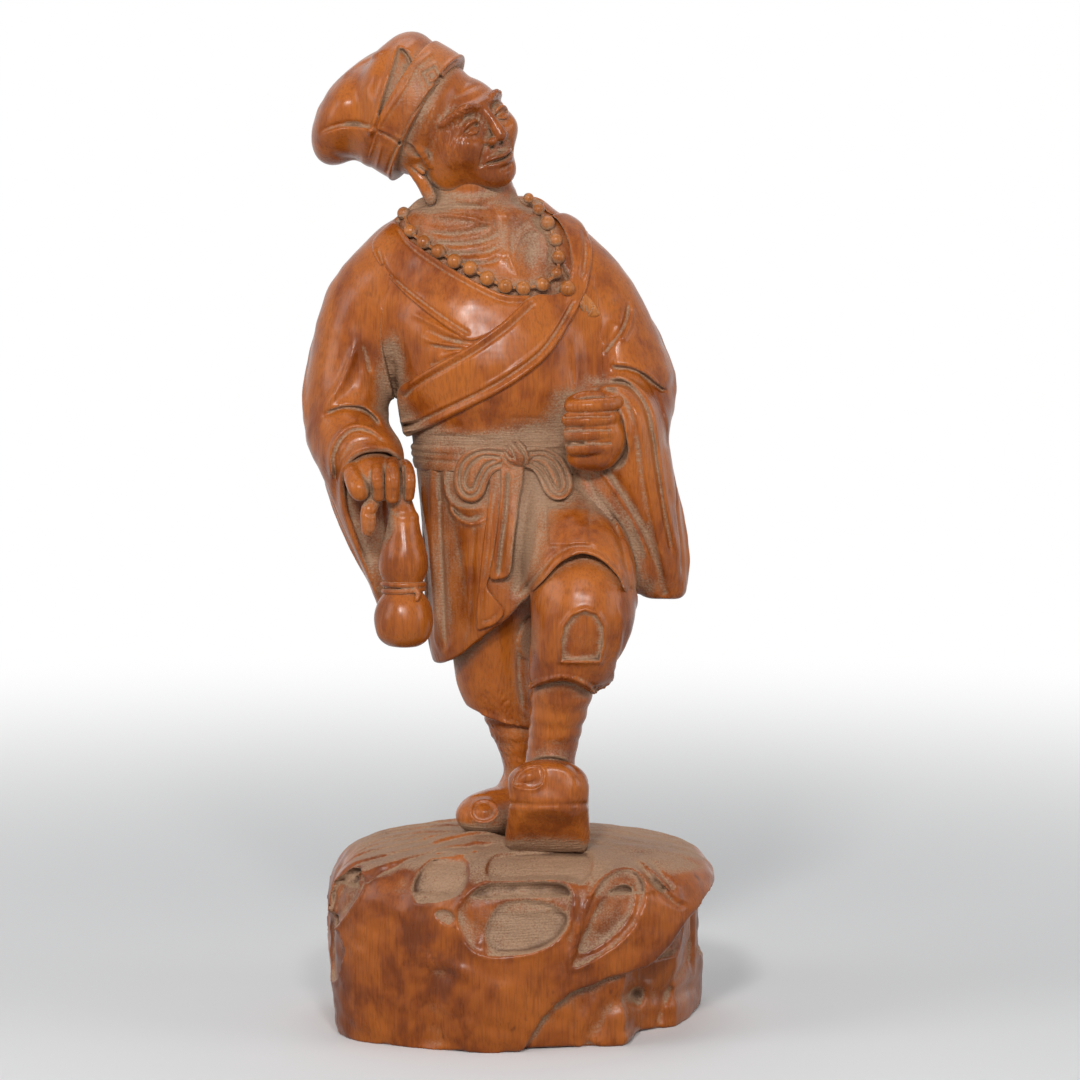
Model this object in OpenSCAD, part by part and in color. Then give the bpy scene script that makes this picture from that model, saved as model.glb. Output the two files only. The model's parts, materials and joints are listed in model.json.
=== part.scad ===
// Carved wooden figure of a striding man in a wrapped robe and a soft cap, with beads and a gourd,
// standing on a rock. The pieces meet face to face and are joined with round dowels and square pegs.
// X runs to the figure's left hand, Y runs behind the figure and Z runs up.

/* [Figure] */
// Height from the top of the rock to the crown of the head under the cap
figure_h = 200; // [170:1:230]

/* [Rock] */
// Width of the rock
base_w = 104; // [92:1:120]
// Depth of the rock
base_d = 84; // [78:1:100]
// Height of the rock, up to where the feet stand
base_h = 50; // [40:1:64]
// How far the rock reaches past the middle towards the figure's left
rock_shift = 2; // [0:0.5:6]
// How far the rock's lower right corner is cut back
undercut = 5; // [3:0.5:8]
// Depth of the hollows in the rock's sides
hollow_t = 2; // [1:0.5:3]

/* [Head and cap] */
// Height of the head from chin to crown
head_h = 36; // [32:0.5:40]
// Width of the head across the temples
head_w = 25.5; // [23:0.5:28]
// Length of an ear with its long lobe
ear_h = 12; // [9:0.5:14]
// Diameter of the cap band from front to back
cap_d = 37; // [34:0.5:41]
// Height of the cap band
cap_band_h = 8; // [6:0.5:10]
// How far the cap band stands out from the crown of the cap
cap_band_t = 1.2; // [0.6:0.1:2]
// Height of the crown of the cap above the band's middle
cap_rise = 27; // [22:0.5:32]

/* [Robe] */
// How far the lapels and the ribbons stand out from the cloth under them
fold_t = 1.4; // [0.8:0.1:2]
// Height of the sash round the waist
sash_h = 5; // [3:0.5:7]
// Diameter of the sash knot
knot_d = 8; // [6:0.5:10]

/* [Hands and gourd] */
// Diameter of a finger
finger_d = 4; // [3.4:0.1:4.6]
// Diameter of the gourd's lower bulb
gourd_d = 15; // [12:0.5:17]
// Height of the gourd below the hand
gourd_h = 34; // [29:0.5:36]
// Diameter of the cord round the gourd's waist
gourd_cord_d = 1.4; // [1:0.1:2]

/* [Beads] */
// Diameter of a bead of the necklace
bead_d = 3.6; // [3:0.1:4.2]
// Diameter of the counter bead
counter_d = 4.6; // [3.6:0.1:5.2]

/* [Dowels and pegs] */
// Diameter of the dowels under the feet
foot_dowel_d = 5; // [4:0.5:6]
// Length of the dowels under the feet
foot_dowel_l = 16; // [12:1:18]
// Diameter of the dowel in the neck
neck_dowel_d = 6; // [4:0.5:7]
// Length of the dowel in the neck
neck_dowel_l = 18; // [12:1:22]
// Width of the square peg under the cap
cap_peg_w = 6; // [4:0.5:8]
// Length of the square peg under the cap
cap_peg_l = 12; // [8:1:14]
// Width of the square tenon in the waist
waist_tenon_w = 14; // [10:1:18]
// Length of the square tenon in the waist
waist_tenon_l = 30; // [20:1:40]
// Width of the square pegs in the wrists
wrist_peg_w = 2.6; // [2:0.1:3.2]
// Length of the square pegs in the wrists
wrist_peg_l = 8; // [6:0.5:9]
// Gap round a dowel, a peg or the gourd's stem
glue_gap = 0.1; // [0.05:0.01:0.2]

/* [Hidden] */
// Sides of a slice of the robe, of a ball in a limb, of a small ball and of a true round
slice_fn = 28;
limb_fn = 18;
small_fn = 12;
round_fn = 48;
// Thickness of the slices that the robe and the rock are lofted through
slice_t = 0.1;
// How far a cut runs past what it cuts
overrun = 60;
// Shares of the figure are hundredths of its height, from the middle of the rock's top
unit = figure_h / 100;

// Rows of a slice are x, y, z, half width and half depth
torso_shares = [
    [-0.6, 0.2, 50.6, 12.1, 8.6], [-0.8, -0.2, 54.0, 12.5, 9.3], [-1.6, -0.6, 59.0, 13.5, 10.2],
    [-2.8, -0.3, 64.5, 14.8, 10.5], [-3.4, 0.4, 69.5, 15.8, 10.0], [-3.6, 1.0, 74.0, 15.4, 8.8],
    [-3.8, 1.4, 78.0, 13.4, 7.6], [-4.0, 1.6, 81.5, 10.2, 6.6], [-4.2, 1.4, 83.6, 8.2, 5.8]
];
skirt_shares = [
    [-0.2, 1.4, 22.2, 10.2, 9.0], [-0.2, 1.2, 27.0, 11.2, 9.6], [0.0, 0.8, 34.0, 11.6, 9.8],
    [0.0, 0.4, 41.0, 11.9, 9.7], [-0.3, 0.2, 47.0, 12.1, 9.2], [-0.6, 0.2, 50.6, 12.1, 8.6]
];
// Rows of a ball are x, y, z and its half sizes along X, Y and Z
thigh_shares = [
    [4.4, -0.5, 42.0, 7.4, 7.0, 6.4], [8.4, -9.0, 38.0, 6.9, 6.4, 6.4], [9.4, -12.2, 34.6, 6.6, 6.0, 6.0]
];
front_trouser_shares = [
    [7.6, -6.0, 36.0, 6.2, 6.0, 6.0], [9.2, -11.6, 32.6, 6.3, 6.2, 5.8], [8.5, -11.6, 26.0, 6.2, 6.0, 4.0],
    [7.2, -9.8, 21.6, 5.6, 5.4, 2.4]
];
rear_trouser_shares = [
    [-0.8, 3.0, 13.0, 4.4, 4.4], [-1.9, 3.0, 16.0, 5.2, 5.2], [-2.8, 2.6, 21.0, 5.8, 5.8],
    [-3.2, 2.2, 27.0, 6.4, 6.6], [-3.2, 1.8, 32.0, 6.6, 7.0]
];
right_arm_shares = [
    [-13.6, 1.6, 75.0, 6.2, 6.6, 5.6], [-18.6, 1.4, 68.6, 6.0, 6.6, 6.4], [-21.6, 0.4, 59.0, 5.2, 6.2, 6.0],
    [-21.8, -1.0, 53.2, 5.0, 5.8, 5.0], [-18.4, -6.6, 50.0, 5.0, 4.6, 4.2]
];
right_drape_shares = [
    [-16.2, -2.6, 30.4, 1.3, 2.6], [-17.2, -2.6, 34.5, 2.2, 4.2], [-18.6, -2.8, 39.5, 2.9, 5.4],
    [-19.8, -2.8, 45.0, 3.8, 6.4], [-20.2, -2.4, 50.0, 4.6, 6.6]
];
left_arm_shares = [
    [5.8, 1.6, 75.2, 6.2, 6.4, 5.4], [10.6, 1.4, 69.0, 6.2, 6.6, 6.4], [14.4, 0.4, 61.0, 6.2, 6.6, 5.8],
    [15.6, -1.4, 56.6, 5.3, 5.8, 4.8], [13.6, -7.2, 54.6, 5.4, 4.6, 4.8]
];
left_drape_shares = [
    [19.8, -3.4, 31.8, 3.0, 3.2], [19.2, -3.6, 36.5, 3.8, 4.4], [17.8, -4.2, 42.5, 4.4, 5.4],
    [16.2, -4.6, 48.5, 4.8, 6.2], [15.4, -4.8, 54.0, 4.9, 6.2]
];
left_inner_shares = [
    [12.4, -5.6, 51.0, 2.6, 3.0, 3.0], [13.8, -6.0, 44.0, 2.8, 2.8, 3.0], [16.4, -5.4, 36.4, 2.6, 2.6, 3.0]
];
neck_shares = [
    [-4.6, 0.8, 80.0, 5.6, 5.0, 4.0], [-5.2, 0.4, 84.0, 5.2, 5.0, 3.0], [-6.4, 0.0, 88.0, 5.0, 4.8, 3.0]
];
// The chest's slices lie just inside the robe, and it fills the front of the neck opening only
chest_shares = [[-3.4, 0.4, 69.5, 15.0, 9.3], [-3.8, 1.4, 78.0, 12.7, 6.9], [-4.2, 1.4, 83.6, 7.5, 5.1]];
chest_back_share = 1.0;
// Edges of the neck opening and the lapels, as x and z, seen from the front
opening_shares = [
    [-15.4, 83.0], [-13.2, 78.6], [-9.4, 75.6], [-5.2, 73.2], [-1.0, 71.6], [1.6, 70.4], [2.6, 72.0],
    [5.2, 73.4], [8.0, 78.4], [10.4, 82.6], [10.4, 92.0], [-15.4, 92.0]
];
lapel_under_shares = [
    [-15.4, 83.0], [-13.2, 78.6], [-9.4, 75.6], [-5.2, 73.2], [-1.0, 71.6], [1.6, 70.4],
    [-4.4, 66.8], [-9.2, 69.6], [-13.4, 72.6], [-16.8, 76.6], [-18.4, 80.6]
];
lapel_over_shares = [
    [10.4, 82.6], [8.0, 78.4], [5.2, 73.4], [2.6, 72.0], [0.9, 70.0], [-4.4, 66.0], [-9.0, 62.9],
    [-13.8, 58.8], [-13.4, 53.6], [-9.0, 56.2], [-4.4, 59.3], [0.6, 62.8], [5.8, 67.0], [8.8, 71.0],
    [12.0, 76.4]
];
// Courses of the sash's hanging ends and loops, as x and z, and their half widths and half thickness
tail_under_shares = [[-1.4, 49.4], [-1.8, 38.0], [-2.9, 32.4], [-2.9, 28.4]];
tail_over_shares = [[0.4, 49.4], [0.2, 42.0], [-0.9, 35.4]];
right_loop_shares = [
    [-0.6, 50.4], [-4.4, 50.6], [-7.4, 49.0], [-8.4, 46.4], [-7.0, 44.6], [-5.0, 46.0], [-2.8, 48.6],
    [-0.6, 49.6]
];
left_loop_shares = [
    [1.8, 50.4], [4.4, 50.4], [6.8, 48.6], [7.6, 46.0], [6.2, 44.6], [4.6, 46.0], [2.8, 48.2], [1.6, 49.6]
];
tail_share = 1.3;
loop_share = 0.9;
strap_t_share = 0.9;
knot_shares = [0.6, 50.6];
// Where the beads and the tassel lie on the chest and the lapels, as x and z
bead_shares = [
    [1.8, 73.2], [4.1, 73.9], [5.6, 75.5], [6.0, 77.6], [5.7, 79.7], [4.7, 81.6], [3.5, 83.2], [-13.0, 81.0],
    [-11.9, 79.6], [-10.0, 78.3], [-8.0, 77.2], [-5.8, 76.2], [-3.4, 75.0], [-0.9, 74.0]
];
counter_shares = [6.8, 73.0];
tassel_shares = [[7.8, 72.0, 0.8, 0.8, 0.8], [9.0, 70.4, 1.3, 1.0, 1.1], [9.6, 68.8, 0.8, 0.8, 0.7]];
tassel_lift_share = 0.9;

// The head's middle, and how it turns to its left, leans and tips back
head_place_shares = [-7.25, -1.0, 92.55];
head_turn = 41;
head_lean = -21;
head_tip = -10;
// The head's forms are rows of x, y, z and half sizes, as shares of its width and its height
skull_shares = [0.0, 0.04, 0.05, 0.50, 0.43, 0.37];
brow_shares = [0.0, -0.20, 0.06, 0.40, 0.22, 0.24];
jaw_shares = [0.0, -0.18, -0.27, 0.32, 0.21, 0.18];
nose_shares = [[0.0, -0.40, 0.06, 0.05, 0.03, 0.03], [0.0, -0.43, -0.08, 0.09, 0.06, 0.04]];
ear_shares = [[0.48, 0.06, -0.02, 0.06, 0.18, 0.30], [0.45, 0.03, -0.19, 0.05, 0.14, 0.24]];
// How the cap turns, leans and tips on the head, where its middle sits, and its forms, which follow its
// size. The hair fills its band from below
cap_turn = 12.7;
cap_lean = -13.2;
cap_tip = -37;
cap_place_shares = [-0.143, 0.175, 0.246];
cap_side_share = 0.86;
hair_shares = [0.0, 0.0, -0.18, 0.38, 0.45, 0.34];
crown_shares = [
    [0.0, 0.04, 0.18, 0.46, 0.50, 0.30], [-0.14, 0.23, 0.52, 0.39, 0.39, 0.30],
    [0.16, 0.23, 0.48, 0.34, 0.36, 0.30], [0.03, -0.20, 0.31, 0.36, 0.26, 0.25]
];
cap_peg_place_shares = [0.0, 0.0, 0.18];
neck_joint_shares = [-6.4, -0.4, 86.0];

// The rock's outline and its levels, as shares of its half width and half depth
rock_outline_shares = [
    [-0.98, -0.20], [-0.86, -0.58], [-0.60, -0.83], [-0.22, -1.00], [0.20, -0.95], [0.70, -0.78],
    [0.97, -0.42], [1.00, 0.12], [0.84, 0.62], [0.42, 0.94], [-0.14, 1.00], [-0.66, 0.84], [-1.00, 0.40]
];
// Each level is a share of the height and of the outline
rock_level_shares = [[0.0, 0.97], [0.34, 1.0], [0.76, 0.98], [0.87, 0.90], [0.95, 0.77], [1.0, 0.60]];
// Each hollow is x, y and z as shares of the half width, half depth and height, how it turns about the
// rock, rises and slants, and its half length and half width as shares of the height
hollow_shares = [
    [-0.02, -0.97, 0.70, 5, 0, -5, 0.29, 0.19], [-0.38, -0.84, 0.87, -24, 32, 0, 0.14, 0.13],
    [0.44, -0.87, 0.66, 15, 0, -55, 0.28, 0.14], [-0.85, -0.60, 0.72, -53, 0, 85, 0.18, 0.10],
    [0.35, 0.95, 0.58, 175, 0, 85, 0.26, 0.23], [-0.38, 0.93, 0.48, 194, 0, 10, 0.25, 0.23],
    [-1.00, 0.33, 0.56, -90, 0, 30, 0.21, 0.17], [-0.92, -0.40, 0.44, -68, 0, 20, 0.18, 0.15],
    [0.91, 0.40, 0.46, 110, 0, 20, 0.19, 0.17]
];
// The lower right corner is cut back under a ridge, given as x and z, to a core, given as x and y
ridge_shares = [
    [0.02, -0.20], [0.02, 0.00], [0.12, 0.18], [0.24, 0.30], [0.42, 0.37], [0.63, 0.42], [0.76, 0.52],
    [0.84, 0.64], [0.93, 0.73], [1.10, 0.86], [1.30, 0.86], [1.30, -0.20]
];
core_shares = [
    [-0.20, -1.00], [0.20, -1.00], [0.37, -0.95], [0.62, -0.91], [0.70, -0.52], [0.89, -0.36],
    [0.95, 0.07], [1.00, 0.33], [0.86, 0.66], [0.50, 0.98], [-0.20, 1.08]
];

// The legs, as balls, and where their dowels stand
front_foot_shares = [
    [4.7, -9.4, 3.4, 4.9, 3.8, 3.6], [4.7, -12.6, 7.2, 5.2, 3.0, 3.4], [4.7, -14.6, 9.6, 5.2, 2.4, 2.4]
];
front_shin_shares = [[5.2, -8.2, 6.0, 3.5, 3.5, 2.0], [7.0, -9.4, 21.0, 4.6, 4.6, 2.0]];
rear_foot_shares = [
    [1.2, 4.6, 2.4, 3.2, 3.2, 2.6], [-2.4, 1.4, 2.2, 4.0, 4.0, 2.4], [-4.4, -1.8, 1.8, 4.2, 3.8, 2.0]
];
rear_shin_shares = [[1.0, 4.6, 3.4, 2.7, 2.8, 2.0], [-1.0, 3.4, 14.0, 3.6, 3.8, 2.0]];
front_dowel_shares = [5.0, -8.6, 0.0];
rear_dowel_shares = [0.8, 4.2, 0.0];

// The hands
fist_shares = [[11.6, -10.2, 53.2, 4.2, 3.6, 4.0], [10.4, -12.2, 52.8, 3.8, 3.2, 3.9]];
fist_finger_shares = [[7.6, -13.4, 56.2], [7.2, -14.0, 54.4], [7.3, -13.8, 52.6], [7.8, -13.0, 50.9]];
fist_finger_end_shares = [5.6, -1.2, 0.0];
fist_thumb_shares = [[10.2, -13.4, 57.4], [7.4, -12.6, 56.8]];
palm_shares = [[-18.2, -8.4, 49.2, 3.8, 3.6, 3.0], [-16.9, -11.0, 47.4, 3.6, 2.7, 2.6]];
// Where the fingers leave the palm's end, as shares of a finger's diameter
grip_finger_shares = [[0.0, -1.3, 0.2], [0.95, -1.45, 0.2], [1.8, -1.1, 0.1]];
grip_finger_end_shares = [0.2, 0.6, -3.4];
palm_end = [for (axis = [0 : 2]) palm_shares[1][axis]];
grip_thumb_shares = [[-20.2, -11.4, 48.4], [-19.4, -13.2, 45.2]];
gourd_shares = [-13.8, -11.2, 43.2];
// The gourd's outline, as shares of its diameter and its height, from its foot up
gourd_outline_shares = [
    [0.0, 0.0], [0.25, 0.01], [0.43, 0.07], [0.50, 0.20], [0.43, 0.33], [0.33, 0.41], [0.31, 0.45],
    [0.35, 0.50], [0.41, 0.58], [0.41, 0.67], [0.35, 0.78], [0.29, 0.87], [0.22, 1.0], [0.0, 1.0]
];
gourd_waist_share = 0.45;
gourd_waist_r_share = 0.31;
right_wrist_shares = [-17.2, -9.9, 47.4];
left_wrist_shares = [11.0, -11.2, 54.4];

function place(share) = [share[0], share[1], share[2]] * unit + [0, 0, base_h];
function flat_points(shares) = [for (p = shares) [p[0] * unit, p[1] * unit + base_h]];
function grown(rows, t) = [for (r = rows) [for (i = [0 : len(r) - 1]) i < 3 ? r[i] : r[i] + t / unit]];

// The robe's slice at a height, and the place on its front at an x and z
function row_at(rows, z, i = 0) = i + 2 == len(rows) || rows[i + 1][2] >= z
    ? rows[i] + (rows[i + 1] - rows[i]) * (z - rows[i][2]) / (rows[i + 1][2] - rows[i][2])
    : row_at(rows, z, i + 1);
function front_y(r, x) = r[1] - r[4] * sqrt(max(0, 1 - pow((x - r[0]) / r[3], 2)));
function robe_row(z) = row_at(z > torso_shares[0][2] ? torso_shares : skirt_shares, z);
function on_robe(p) = [p[0], front_y(robe_row(p[1]), p[0]), p[1]];

module slice(row) {
    translate(place(row)) scale([row[3] * unit, row[4] * unit, 1])
        cylinder(h = slice_t, r = 1, center = true, $fn = slice_fn);
}

module loft(rows) {
    for (i = [0 : len(rows) - 2]) hull() {
        slice(rows[i]);
        slice(rows[i + 1]);
    }
}

module ball(row, fn = limb_fn) {
    translate(place(row)) scale([row[3], row[4], row[5]] * unit) sphere(r = 1, $fn = fn);
}

module chain(rows, fn = limb_fn) {
    for (i = [0 : len(rows) - 2]) hull() {
        ball(rows[i], fn);
        ball(rows[i + 1], fn);
    }
}

// A finger or a like rounded rod between two places
module finger(a, b, d = finger_d) {
    hull() {
        translate(place(a)) sphere(d = d, $fn = small_fn);
        translate(place(b)) sphere(d = d, $fn = small_fn);
    }
}

// Turns what runs up at the origin so that it runs from one row's place to another's, through a third's
module aimed(through, from, to) {
    d = place(to) - place(from);
    translate(place(through)) rotate([0, acos(d[2] / norm(d)), atan2(d[1], d[0])]) children();
}

module square_peg(w, l, gap = 0) {
    cube([w + gap + gap, w + gap + gap, l + gap + gap], center = true);
}

// What lies in front of the figure inside an outline of x and z
module front_of(shares) {
    rotate([90, 0, 0]) linear_extrude(height = overrun) polygon(flat_points(shares));
}

module above_rock() {
    translate([0, 0, base_h + overrun / 2])
        cube([base_w + overrun, base_d + overrun, overrun], center = true);
}

// Rock

function rock_points(level) = [for (p = rock_outline_shares)
    [p[0] * level * base_w / 2, p[1] * level * base_d / 2]];

module rock_level(row) {
    translate([rock_shift, 0, row[0] * (base_h - slice_t)]) linear_extrude(height = slice_t)
        polygon(rock_points(row[1]));
}

module foot_dowel_form(row, gap = 0) {
    translate(place(row)) cylinder(h = foot_dowel_l + gap + gap, d = foot_dowel_d + gap + gap, center = true,
        $fn = round_fn);
}

module hollow(row) {
    translate([rock_shift + row[0] * base_w / 2, row[1] * base_d / 2, row[2] * base_h])
        rotate([0, 0, row[3]]) rotate([-row[4], 0, 0]) rotate([0, row[5], 0])
            scale([row[6] * base_h, hollow_t, row[7] * base_h]) sphere(r = 1, $fn = limb_fn);
}

module cut_back_corner() difference() {
    translate([rock_shift, 0, 0]) rotate([90, 0, 0]) linear_extrude(height = base_d + base_d, center = true)
        polygon([for (p = ridge_shares) [p[0] * base_w / 2, p[1] * base_h]]);
    translate([rock_shift - undercut, undercut, -overrun / 2]) linear_extrude(height = base_h + overrun)
        polygon([for (p = core_shares) [p[0] * base_w / 2, p[1] * base_d / 2]]);
}

module rock_base() color("peru") difference() {
    for (i = [0 : len(rock_level_shares) - 2]) hull() {
        rock_level(rock_level_shares[i]);
        rock_level(rock_level_shares[i + 1]);
    }
    for (row = hollow_shares) hollow(row);
    cut_back_corner();
    foot_dowel_form(front_dowel_shares, glue_gap);
    foot_dowel_form(rear_dowel_shares, glue_gap);
}

// Legs

module front_shin() { chain(front_shin_shares); }

module rear_shin() { chain(rear_shin_shares); }

module front_leg() color("sienna") difference() {
    union() {
        intersection() {
            chain(front_foot_shares);
            above_rock();
        }
        front_shin();
    }
    foot_dowel_form(front_dowel_shares, glue_gap);
}

module rear_leg() color("sienna") difference() {
    union() {
        intersection() {
            chain(rear_foot_shares);
            above_rock();
        }
        rear_shin();
    }
    foot_dowel_form(rear_dowel_shares, glue_gap);
}

module front_trouser() color("chocolate") difference() {
    chain(front_trouser_shares);
    skirt_form();
    front_shin();
}

module rear_trouser() color("chocolate") difference() {
    loft(rear_trouser_shares);
    skirt_form();
    rear_shin();
    chain(front_trouser_shares);
}

// Robe and sash

module torso_form(t = 0) { loft(grown(torso_shares, t)); }

module skirt_form(t = 0) {
    loft(grown(skirt_shares, t));
    chain(grown(thigh_shares, t));
}

module robe_form(t = 0) {
    torso_form(t);
    skirt_form(t);
}

module right_sleeve_form() {
    chain(right_arm_shares);
    loft(right_drape_shares);
}

module left_sleeve_form() {
    chain(left_arm_shares);
    loft(left_drape_shares);
    chain(left_inner_shares);
}

module chest_form() {
    intersection() {
        loft(chest_shares);
        translate([0, chest_back_share * unit - overrun / 2, base_h + figure_h / 2])
            cube([base_w + overrun, overrun, figure_h], center = true);
    }
    chain(neck_shares);
}

module waist_tenon_form(gap = 0) {
    translate(place(torso_shares[0])) square_peg(waist_tenon_w, waist_tenon_l, gap);
}

module skirt() color("chocolate") difference() {
    skirt_form();
    torso_form();
    waist_tenon_form(glue_gap);
}

module robe_body() color("chocolate") difference() {
    torso_form();
    chest_form();
    front_of(opening_shares);
    waist_tenon_form(glue_gap);
}

module lapel_under() color("saddlebrown") difference() {
    intersection() {
        torso_form(fold_t);
        front_of(lapel_under_shares);
    }
    torso_form();
    chest_form();
    right_sleeve_form();
}

module lapel_over() color("saddlebrown") difference() {
    intersection() {
        torso_form(fold_t);
        front_of(lapel_over_shares);
    }
    torso_form();
    chest_form();
    left_sleeve_form();
    right_sleeve_form();
}

module sash_band_form() {
    intersection() {
        robe_form(fold_t);
        translate(place(torso_shares[0])) cube([overrun, overrun, sash_h], center = true);
    }
}

module sash_band() color("sienna") difference() {
    sash_band_form();
    robe_form();
    left_sleeve_form();
    right_sleeve_form();
}

module sash_knot_form() {
    translate(place(on_robe(knot_shares))) sphere(d = knot_d, $fn = limb_fn);
}

module sash_knot() color("sienna") difference() {
    sash_knot_form();
    robe_form();
    sash_band_form();
}

// A strap lies against the robe, along its course
module strap(shares, half_w) {
    chain([for (p = shares) concat(on_robe(p), [half_w, strap_t_share, half_w])], small_fn);
}

module sash_loops_form() {
    strap(right_loop_shares, loop_share);
    strap(left_loop_shares, loop_share);
}

module sash_loops() color("sienna") difference() {
    sash_loops_form();
    robe_form();
    sash_band_form();
    sash_knot_form();
    left_sleeve_form();
}

module sash_tails() color("sienna") difference() {
    union() {
        strap(tail_under_shares, tail_share);
        strap(tail_over_shares, tail_share);
    }
    robe_form();
    sash_band_form();
    sash_knot_form();
    sash_loops_form();
}

module right_sleeve() color("chocolate") difference() {
    right_sleeve_form();
    robe_form();
    right_wrist_peg_form(glue_gap);
}

module left_sleeve() color("chocolate") difference() {
    left_sleeve_form();
    robe_form();
    left_wrist_peg_form(glue_gap);
}

// Head, cap and chest

module in_head() {
    translate(place(head_place_shares)) rotate([0, 0, head_turn]) rotate([0, head_lean, 0])
        rotate([head_tip, 0, 0]) children();
}

module in_cap() {
    in_head() translate(cap_place_shares * head_h) rotate([0, 0, cap_turn]) rotate([0, cap_lean, 0])
        rotate([cap_tip, 0, 0]) children();
}

module head_ball(row, side = 1, fn = limb_fn) {
    translate([row[0] * side * head_w, row[1] * head_h, row[2] * head_h])
        scale([row[3] * head_w, row[4] * head_h, row[5] * head_h]) sphere(r = 1, $fn = fn);
}

module skull() {
    in_head() for (row = [brow_shares, jaw_shares]) hull() {
        head_ball(skull_shares);
        head_ball(row);
    }
    hull() crown_ball(hair_shares);
}

module ears() {
    for (side = [-1, 1]) in_head() hull() for (row = ear_shares)
        translate([row[0] * side * head_w, row[1] * head_h, row[2] * head_h])
            scale([row[3] * head_w, row[4] * ear_h, row[5] * ear_h]) sphere(r = 1, $fn = small_fn);
}

module neck_dowel_form(gap = 0) {
    aimed(neck_joint_shares, neck_shares[0], head_place_shares)
        cylinder(h = neck_dowel_l + gap + gap, d = neck_dowel_d + gap + gap, center = true, $fn = round_fn);
}

module cap_peg_form(gap = 0) {
    in_cap() translate([cap_peg_place_shares[0] * cap_d, cap_peg_place_shares[1] * cap_d,
        cap_peg_place_shares[2] * cap_rise]) square_peg(cap_peg_w, cap_peg_l, gap);
}

module head() color("sienna") difference() {
    union() {
        skull();
        ears();
        in_head() hull() for (row = nose_shares) head_ball(row, 1, small_fn);
    }
    neck_dowel_form(glue_gap);
    cap_peg_form(glue_gap);
}

module chest() color("sienna") difference() {
    chest_form();
    skull();
    neck_dowel_form(glue_gap);
}

module cap_ring(grow, h) {
    in_cap() scale([cap_side_share * cap_d / 2 + grow, cap_d / 2 + grow, h])
        cylinder(h = 1, r = 1, center = true, $fn = slice_fn + small_fn);
}

module crown_ball(row) {
    in_cap() translate([row[0] * cap_d, row[1] * cap_d, row[2] * cap_rise])
        scale([row[3] * cap_d, row[4] * cap_d, row[5] * cap_rise]) sphere(r = 1, $fn = limb_fn);
}

module crown_form() {
    hull() {
        cap_ring(0, cap_band_h / 2);
        crown_ball(crown_shares[0]);
    }
    for (i = [0 : len(crown_shares) - 2]) hull() {
        crown_ball(crown_shares[i]);
        crown_ball(crown_shares[i + 1]);
    }
}

module cap_band() color("saddlebrown") difference() {
    cap_ring(cap_band_t, cap_band_h);
    skull();
    ears();
    crown_form();
}

module cap_crown() color("chocolate") difference() {
    crown_form();
    skull();
    ears();
    cap_peg_form(glue_gap);
}

// Beads

function lifted(p) = on_robe(p) - [0, tassel_lift_share, 0];

module beads_form() { for (p = bead_shares) translate(place(on_robe(p))) sphere(d = bead_d, $fn = small_fn); }

module dressed_body() {
    robe_body();
    chest_form();
    left_sleeve_form();
    right_sleeve_form();
    skull();
    lapel_under();
    lapel_over();
}

module necklace_beads() color("burlywood") difference() {
    beads_form();
    dressed_body();
}

module necklace_tassel() color("burlywood") difference() {
    union() {
        translate(place(lifted(counter_shares))) sphere(d = counter_d, $fn = small_fn);
        chain([for (r = tassel_shares) concat(lifted(r), [r[2], r[3], r[4]])], small_fn);
    }
    beads_form();
    dressed_body();
}

// Hands and gourd

module grip_finger(from) finger(from, from + grip_finger_end_shares);

module right_wrist_peg_form(gap = 0) {
    aimed(right_wrist_shares, right_arm_shares[4], palm_shares[1]) square_peg(wrist_peg_w, wrist_peg_l, gap);
}

module left_wrist_peg_form(gap = 0) {
    aimed(left_wrist_shares, left_arm_shares[4], fist_shares[1]) square_peg(wrist_peg_w, wrist_peg_l, gap);
}

module right_hand() color("sienna") difference() {
    union() {
        chain(palm_shares);
        for (share = grip_finger_shares) grip_finger(palm_end + share * finger_d / unit);
        finger(grip_thumb_shares[0], grip_thumb_shares[1]);
    }
    right_sleeve_form();
    right_wrist_peg_form(glue_gap);
    translate(place(gourd_shares)) gourd_form(glue_gap);
}

module left_hand() color("sienna") difference() {
    union() {
        chain(fist_shares);
        for (p = fist_finger_shares) finger(p, p + fist_finger_end_shares);
        finger(fist_thumb_shares[0], fist_thumb_shares[1]);
    }
    left_sleeve_form();
    left_wrist_peg_form(glue_gap);
}

function gourd_points(gap) = [for (p = gourd_outline_shares)
    [p[0] == 0 ? 0 : p[0] * gourd_d + gap, (p[1] - 1) * gourd_h + (p[1] == 1 ? gap : 0)]];

module gourd_form(gap = 0) { rotate_extrude($fn = round_fn) polygon(gourd_points(gap)); }

module gourd() color("peru") translate(place(gourd_shares)) gourd_form();

module gourd_cord() color("saddlebrown") translate(place(gourd_shares)) rotate_extrude($fn = round_fn)
    difference() {
        translate([gourd_waist_r_share * gourd_d + gourd_cord_d / 4, (gourd_waist_share - 1) * gourd_h])
            circle(d = gourd_cord_d, $fn = round_fn);
        polygon(gourd_points(0));
    }

// Dowels, pegs and tenon

module front_foot_dowel() color("tan") foot_dowel_form(front_dowel_shares);

module rear_foot_dowel() color("tan") foot_dowel_form(rear_dowel_shares);

module waist_tenon() color("tan") waist_tenon_form();

module neck_dowel() color("tan") neck_dowel_form();

module cap_peg() color("tan") cap_peg_form();

module right_wrist_peg() color("tan") right_wrist_peg_form();

module left_wrist_peg() color("tan") left_wrist_peg_form();

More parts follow.
